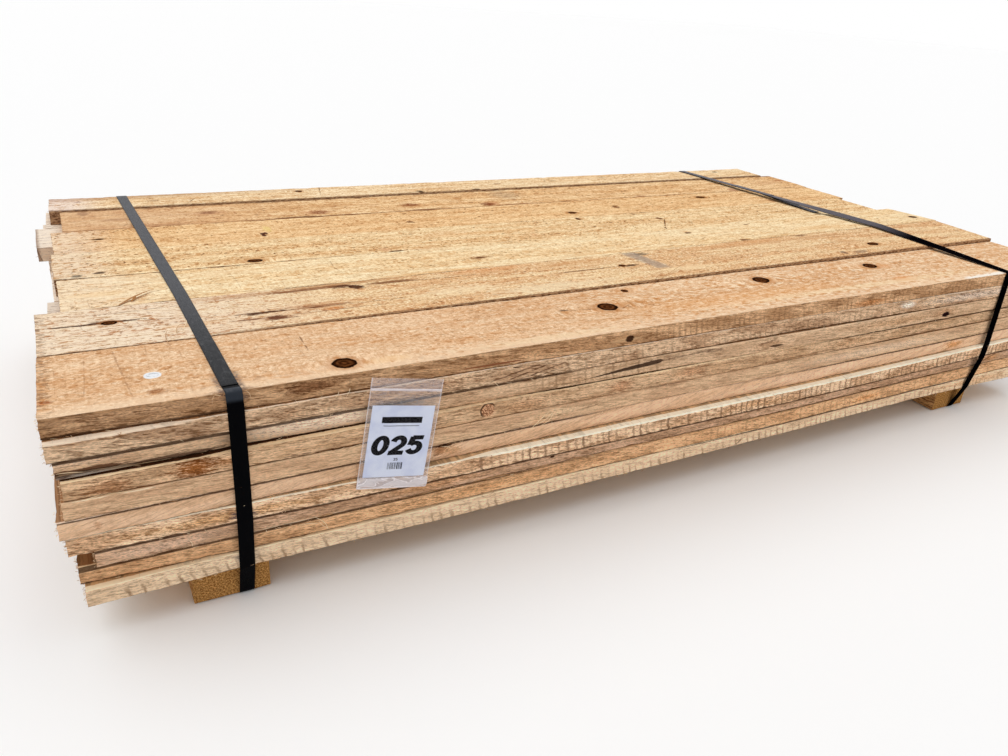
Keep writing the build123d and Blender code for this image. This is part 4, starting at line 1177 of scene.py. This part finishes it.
def ribbon(soup, path, closed, rise=0.0, roll=None):
    """A flat band along 3-D path points. rise lifts it off the path; roll tips its right edge up, in degrees.
    The middle attribute keeps mm along and mm across."""
    P = np.array(path, float)
    n = len(P)
    T = np.roll(P, -1, 0) - np.roll(P, 1, 0) if closed else np.gradient(P, axis=0)
    T /= np.linalg.norm(T, axis=1)[:, None]
    out = np.stack([np.zeros(n), T[:, 2], -T[:, 1]], -1)
    out /= np.linalg.norm(out, axis=1)[:, None]
    S = np.cross(T, out)
    N = np.cross(S, T)
    if roll is not None:
        tip = np.radians(roll)[:, None] * np.sign(S[:, :1])
        S, N = S * np.cos(tip) + N * np.sin(tip), N * np.cos(tip) - S * np.sin(tip)
    along = np.concatenate(([0], np.cumsum(np.linalg.norm(np.diff(P, axis=0), axis=1))))
    across = (-1, -0.93, -0.6, -0.2, 0.2, 0.6, 0.93, 1)
    section = [(t, PLY * (0.72 if abs(t) == 1 else 1.0) + 0.14 * (1 - t * t)) for t in across]
    section += [(t, 0.16 if abs(t) == 1 else 0.0) for t in across[::-1]]
    rise = np.broadcast_to(rise, n)[:, None]
    co = np.stack([P + S * (t * BAND / 2) + N * (rise + h) for t, h in section], 1)
    r = len(section)
    faces = grid(n, r, around=True, closed=closed)
    if not closed:
        faces += [list(range(r)), list(range(n * r - 1, (n - 1) * r - 1, -1))]
    soup.add(co, faces, 0)
    facts = soup.facts[-1][:, 3:]
    facts[:, 0] = np.repeat(along, r)
    facts[:, 1] = np.tile([t * BAND / 2 for t, _ in section], n)


strap_mat = strap_plastic()
TIPPED = (8, 60, 120, 200, 420, 520, 596), (0, 4, 8, 14, 16, 6, 0)          # y, and degrees
BEND, CLEAR, LONGEST, LEAD, TAIL_END = 4.5, 0.35, 14.0, 6.0, 470.0
FALL = 0.024        # mm to the left for each mm of y, under the boards


def left_over(y):
    """x of the left band on top of the boards."""
    return float(np.interp(y, (0, 20, 330, DEPTH), (171.0, 169.4, 165.2, 147.0)))


def right_over(y):
    """x of the right band on top of the boards."""
    return 1633.0 - 0.036 * y


# x on top of the boards, x under the runner at the front, ends of the doubled length, crown: y and height
STRAPS = {"strap_left": (left_over, 170.6, (14.0, 146.0), None),
          "strap_right": (right_over, 1620.0, (610.0, 742.0), (300.0, 13.5))}
for name, (over, beneath, (near_end, far_end), crown) in STRAPS.items():
    def x_at(y, z):
        foot = beneath - FALL * y
        return foot + (over(y) - foot) * (z + RUNNER_HIGH) / (STACK + RUNNER_HIGH)
    points = [(SETBACK, -RUNNER_HIGH), (DEPTH - SETBACK, -RUNNER_HIGH)]
    if crown:
        points.append((crown[0], STACK + crown[1]))
    for form in forms:
        x = x_at(*form.middle[1:])
        for side in (0, 1):
            if form.left[side] < x < form.right[side]:
                y = float(form.y_far(x) if side else form.y_near(x))
                high = float(form.z_top(x, side))
                points += [(y, high), (y, high - form.thick)]
    path = [(x_at(y, z), y, z) for y, z in subdivide(round_off(hull(points), BEND, CLEAR), LONGEST)]
    on_top = [z > STACK - 6 for _, _, z in path]
    soup = Soup(name + "_band", [strap_mat])
    roll = np.array([float(np.interp(p[1], *TIPPED)) * top for p, top in zip(path, on_top)]) if crown else None
    ribbon(soup, path, True, roll=roll)
    crest = sorted((p[1:] for p, top in zip(path, on_top) if top and near_end - 60 < p[1] < far_end + 60),
                   key=lambda p: p[0])
    crest = np.array(crest).T
    ys = np.linspace(far_end + LEAD, near_end, 26)
    lift = np.clip((far_end + LEAD - ys) / 10, 0, 1) * (PLY + 0.12) - 0.15
    ribbon(soup, [(x_at(y, z), y, z) for y, z in zip(ys, np.interp(ys, *crest))], False, lift)
    if crown:       # the loose end comes out from under the weld and drops to the boards
        root = near_end + 24
        ys = np.linspace(root, TAIL_END, 16)
        share = np.clip((ys - TAIL_END) / (root - TAIL_END), 0, 1) ** 1.6
        zs = (STACK + 1.2) * (1 - share) + (np.interp(ys, *crest) - 1.2) * share
        ribbon(soup, [(x_at(y, z) + 2.0, y, z) for y, z in zip(ys, zs)], False)
    soup.build("strap", name, sharp=50)


# ------------------------------------------------------------------ lot tag
POUCH_W, POUCH_H, CARD_W, CARD_H, CARD_DROP, ZIP_DROP = 96.0, 153.0, 84.0, 100.0, 36.5, 14.0
TAG_TOP = np.array((380.8, -4.5, STACK - 16.4))
turns = [Matrix.Rotation(math.radians(angle), 3, axis) for angle, axis in ((9.3, "Y"), (-2.9, "X"), (-3.1, "Z"))]
tag_turn = np.array(turns[0] @ turns[1] @ turns[2])


def tag_place(u, d, out):
    """From mm across, mm down and mm towards the viewer on the tag to the stack frame."""
    pts = np.stack(np.broadcast_arrays(u, -np.asarray(out, float), -np.asarray(d, float)), -1).reshape(-1, 3)
    return pts @ tag_turn.T + TAG_TOP


def swell(u, d):
    """How far the card stands out: a slight bow with two soft creases."""
    v = d - CARD_DROP
    crease = 0.5 * np.exp(-((u * 0.55 + v * 0.9 - 52) / 5.0) ** 2)
    crease = crease + 0.4 * np.exp(-((u * 0.8 - v * 0.5 + 26) / 6.0) ** 2)
    return 0.75 + 0.35 * lump(u / 30, v / 34, 2.0) + crease


def sheet_grid(soup, us, ds, height, index=0, thick=0.0):
    """A sheet over these mm across and down, standing out by height; thick gives it a back and a rim."""
    U, D = np.meshgrid(us, ds, indexing="ij")
    n, r = U.shape
    front = height(U, D)
    co = tag_place(U, D, front)
    faces = grid(n, r, flip=True)
    if thick:
        co = np.concatenate([co, tag_place(U, D, front - thick)])
        size = n * r
        faces += [[a + size for a in f[::-1]] for f in faces]
        at = np.arange(size).reshape(n, r)
        rim = [int(i) for i in (*at[:, 0], *at[-1, 1:], *at[-2::-1, -1], *at[0, -2:0:-1])]
        faces += [[a, b, b + size, a + size] for a, b in zip(rim, rim[1:] + rim[:1])]
    soup.add(co, faces, index)
    soup.facts[-1][:, 3:5] = np.tile(np.stack([U.ravel(), D.ravel()], -1), (len(co) // (n * r), 1))


def card_paper():
    m = Mat("card_paper", "#dee4f6", 0.62, 0.3)
    u, d, _ = m.own("middle")
    m.paint(m.noise(u / 24.0, d / 24.0, 1.0, 3.0).fade(0.35, 0.7), "#ced5ee")
    return m.finish(m.noise(u, d, 4.0), 0.05)


def film():
    """Clear pouch: thin, hazy at the weld, the mouth and the creased foot."""
    m = Mat("pouch_film", "#f4ecee", 0.14, 0.5)
    u, d, _ = m.own("middle")
    crease = m.noise(u / 22.0, d / 9.0, 1.0, 2.0, 0.45, 0.8)
    fold = (crease - 0.5).abs().fade(0.05, 0.0)
    foot = d.fade(136.5, 138.5)
    haze = u.abs().fade(46.2, 47.4) * 0.3 + d.fade(15.0, 12.0) * 0.05
    haze = haze + foot * (crease.fade(0.4, 0.62) * 0.3 + fold * 0.4 + 0.3) + d.fade(150.5, 152.0) * 0.4
    over_card = u.abs().fade(42.2, 41.6) * d.fade(36.2, 36.8) * d.fade(136.4, 135.8)
    haze = haze + (fold * 0.06 + 0.08) * (1.0 - over_card) + 0.012
    m.set("Alpha", haze.min(0.9))
    return m.finish(crease * (foot * 2.0 + 0.5), 1.1)


def plastic_white():
    m = Mat("zip_plastic", "#fcf4f8", 0.3, 0.5)
    m.set("Alpha", m.noise(m.x / 12.0, m.z / 3.0, 2.0).fade(0.2, 0.8) * 0.25 + 0.7)
    return m.finish()


def ink():
    m = Mat("print_ink", "#08080c", 0.6, 0.05)
    m.paint(m.noise(m.x / 2.0, m.z / 2.0, 3.0).fade(0.5, 0.8) * 0.25, "#1c1c24")
    return m.finish()


card = Soup("card", [card_paper()])
sheet_grid(card, np.linspace(-CARD_W / 2, CARD_W / 2, 43), np.linspace(CARD_DROP, CARD_DROP + CARD_H, 51), swell,
           thick=0.25)
card.build("card", "tag_card")

marks = Soup("card_print", [ink()])


def printed(u, d, lines, flip):
    """A flat printed shape laid on the card: so many lines of points at u and d, in mm on the tag."""
    marks.add(tag_place(u, d, swell(u, d) + 0.12), grid(lines, len(u) // lines, flip), 0)


def block(u0, d0, u1, d1):
    """A bar between two corners."""
    us = np.linspace(u0, u1, max(2, int(abs(u1 - u0) / 2) + 1))
    printed(np.tile(us, 5), np.repeat([d0 * (1 - t) + d1 * t for t in np.linspace(0, 1, 5)], len(us)), 5, False)


def bow_line(x, y, rx, ry, start, end, n):
    """Points on an ellipse, angles in degrees, anticlockwise from the right."""
    return [(x + rx * math.cos(a), y + ry * math.sin(a)) for a in np.radians(np.linspace(start, end, n))]


NUMERALS = {    # middle lines of the strokes in a box 1 by 1
    "0": [bow_line(0.5, 0.5, 0.34, 0.40, 0, 360, 40)],
    "2": [bow_line(0.49, 0.66, 0.32, 0.245, 172, -38, 22) + [(0.22, 0.13)], [(0.04, 0.10), (0.96, 0.10)]],
    "5": [[(0.22, 0.90), (0.90, 0.90)], [(0.27, 0.94), (0.19, 0.50)], bow_line(0.49, 0.36, 0.34, 0.255, 140, -160, 26)],
}


def numeral(kind, u0, d0, wide, high, heavy, lean):
    """One plain numeral, its upright strokes thicker than its level ones."""
    for stroke in NUMERALS[kind]:
        pts = np.array(stroke)
        way = np.gradient(pts, axis=0)
        way /= np.linalg.norm(way, axis=1)[:, None]
        side = np.stack([-way[:, 1], way[:, 0]], -1) * np.array((heavy, heavy * 0.62))
        if len(pts) == 2:
            spread = np.linspace(0, 1, 13)
            pts, side = (np.stack([np.interp(spread, (0, 1), g[:, c]) for c in (0, 1)], -1) for g in (pts, side))
        both = np.concatenate([pts + side * t for t in np.linspace(1, -1, 7)])
        u = u0 + (both[:, 0] + (both[:, 1] - 0.5) * lean) * wide
        printed(u, d0 + (1 - both[:, 1]) * high, 7, True)


def digits(text, u_mid, d_mid, wide, high, heavy, lean):
    """A number centred on this point."""
    each = wide / len(text)
    for k, kind in enumerate(text):
        numeral(kind, u_mid - wide / 2 + (k + 0.03) * each, d_mid - high / 2, each * 0.95, high, heavy, lean)


digits("025", -1.0, CARD_DROP + 55.0, wide=70.0, high=26.5, heavy=0.185, lean=0.22)
digits("25", -1.0, CARD_DROP + 75.0, wide=6.0, high=3.8, heavy=0.14, lean=0.0)
rnd = random.Random(4)
u = -11.0
while u < 8.0:      # a small pattern of bars that carries no code
    w = rnd.choice((0.5, 0.8, 1.3))
    block(u, CARD_DROP + 79.5, u + w, CARD_DROP + 89.0)
    u += w + rnd.choice((0.6, 0.9, 1.4))
block(-27.0, CARD_DROP + 15.5, 27.0, CARD_DROP + 24.0)
block(-24.0, CARD_DROP + 27.6, 24.0, CARD_DROP + 28.3)
marks.build("card")


def pouch_front(U, D):
    """The front film: over the card where that is, and puffed at the creased foot."""
    over = np.where((np.abs(U) < CARD_W / 2) & (D > CARD_DROP) & (D < CARD_DROP + CARD_H), swell(U, D), 0.45)
    rim = np.clip((POUCH_W / 2 - np.abs(U)) / 4, 0, 1)
    flap = np.clip((D - 137) / 3, 0, 1) * (1 - np.clip((D - 147) / 6, 0, 1))
    return 0.15 + rim * (over + 0.25 + 0.25 * lump(U / 16, D / 18, 4.0)) + flap * (1.4 + 1.2 * lump(U / 11, D / 5, 9.0))


def zip_front(U, D):
    return 1.5 + 0.3 * lump(U / 16, D / 18, 4.0)


pouch = Soup("pouch", [film(), plastic_white()])
us, ds = np.linspace(-POUCH_W / 2, POUCH_W / 2, 49), np.linspace(0, POUCH_H, 78)
sheet_grid(pouch, us, ds, pouch_front)
sheet_grid(pouch, us, ds, lambda U, D: 0.02 + 0.0 * U)
us = np.linspace(-POUCH_W / 2 + 0.6, POUCH_W / 2 - 0.6, 33)
for drop, high in ((ZIP_DROP - 0.2, 1.5), (ZIP_DROP + 1.9, 0.7)):
    sheet_grid(pouch, us, np.linspace(drop, drop + high, 4), zip_front, 1, thick=1.0)
pouch.build("pouch", "tag_pouch")


# ------------------------------------------------------------------ stage and light
HALF_FLOOR, FLOOR_GREY = 30, 0.94
mesh = bpy.data.meshes.new("floor")
mesh.from_pydata([(x * HALF_FLOOR, y * HALF_FLOOR, 0) for x, y in ((-1, -1), (1, -1), (1, 1), (-1, 1))], [],
                 [(0, 1, 2, 3)])
paint = bpy.data.materials.new("floor")
paint.use_nodes = True
shader = paint.node_tree.nodes["Principled BSDF"]
shader.inputs["Base Color"].default_value = (FLOOR_GREY, FLOOR_GREY, FLOOR_GREY, 1)
shader.inputs["Roughness"].default_value = 0.9
mesh.materials.append(paint)
floor = placed("floor", mesh)

LAMP_PLACE, LAMP_AIM, LAMP_SIZE, LAMP_POWER = Vector((-1.2, 0.5, 4.2)), Vector((0, 0, 0.1)), 80.0, 1.75
light = bpy.data.lights.new("key", "SUN")
light.angle, light.energy = math.radians(LAMP_SIZE), LAMP_POWER
aimed = (LAMP_AIM - LAMP_PLACE).to_track_quat("-Z", "Y").to_matrix().to_4x4()
placed("key", light).matrix_world = Matrix.Translation(LAMP_PLACE) @ aimed

# The world is white where it is seen, straight, mirrored or through the film, and lights the part at half of that.
AMBIENT = 0.5
world = bpy.data.worlds.new("world")
bpy.context.scene.world = world
world.use_nodes = True
tree = world.node_tree
back = tree.nodes["Background"]
back.inputs["Color"].default_value = (1, 1, 1, 1)
rays = tree.nodes.new("ShaderNodeLightPath")
seen = rays.outputs["Is Camera Ray"]
for kind in ("Is Glossy Ray", "Is Transmission Ray"):
    either = tree.nodes.new("ShaderNodeMath")
    either.operation = "MAXIMUM"
    tree.links.new(seen, either.inputs[0])
    tree.links.new(rays.outputs[kind], either.inputs[1])
    seen = either.outputs[0]
level = tree.nodes.new("ShaderNodeMapRange")
tree.links.new(seen, level.inputs["Value"])
level.inputs["To Min"].default_value = AMBIENT
level.inputs["To Max"].default_value = 1.0
tree.links.new(level.outputs[0], back.inputs["Strength"])
bpy.context.scene.view_settings.view_transform = "Standard"
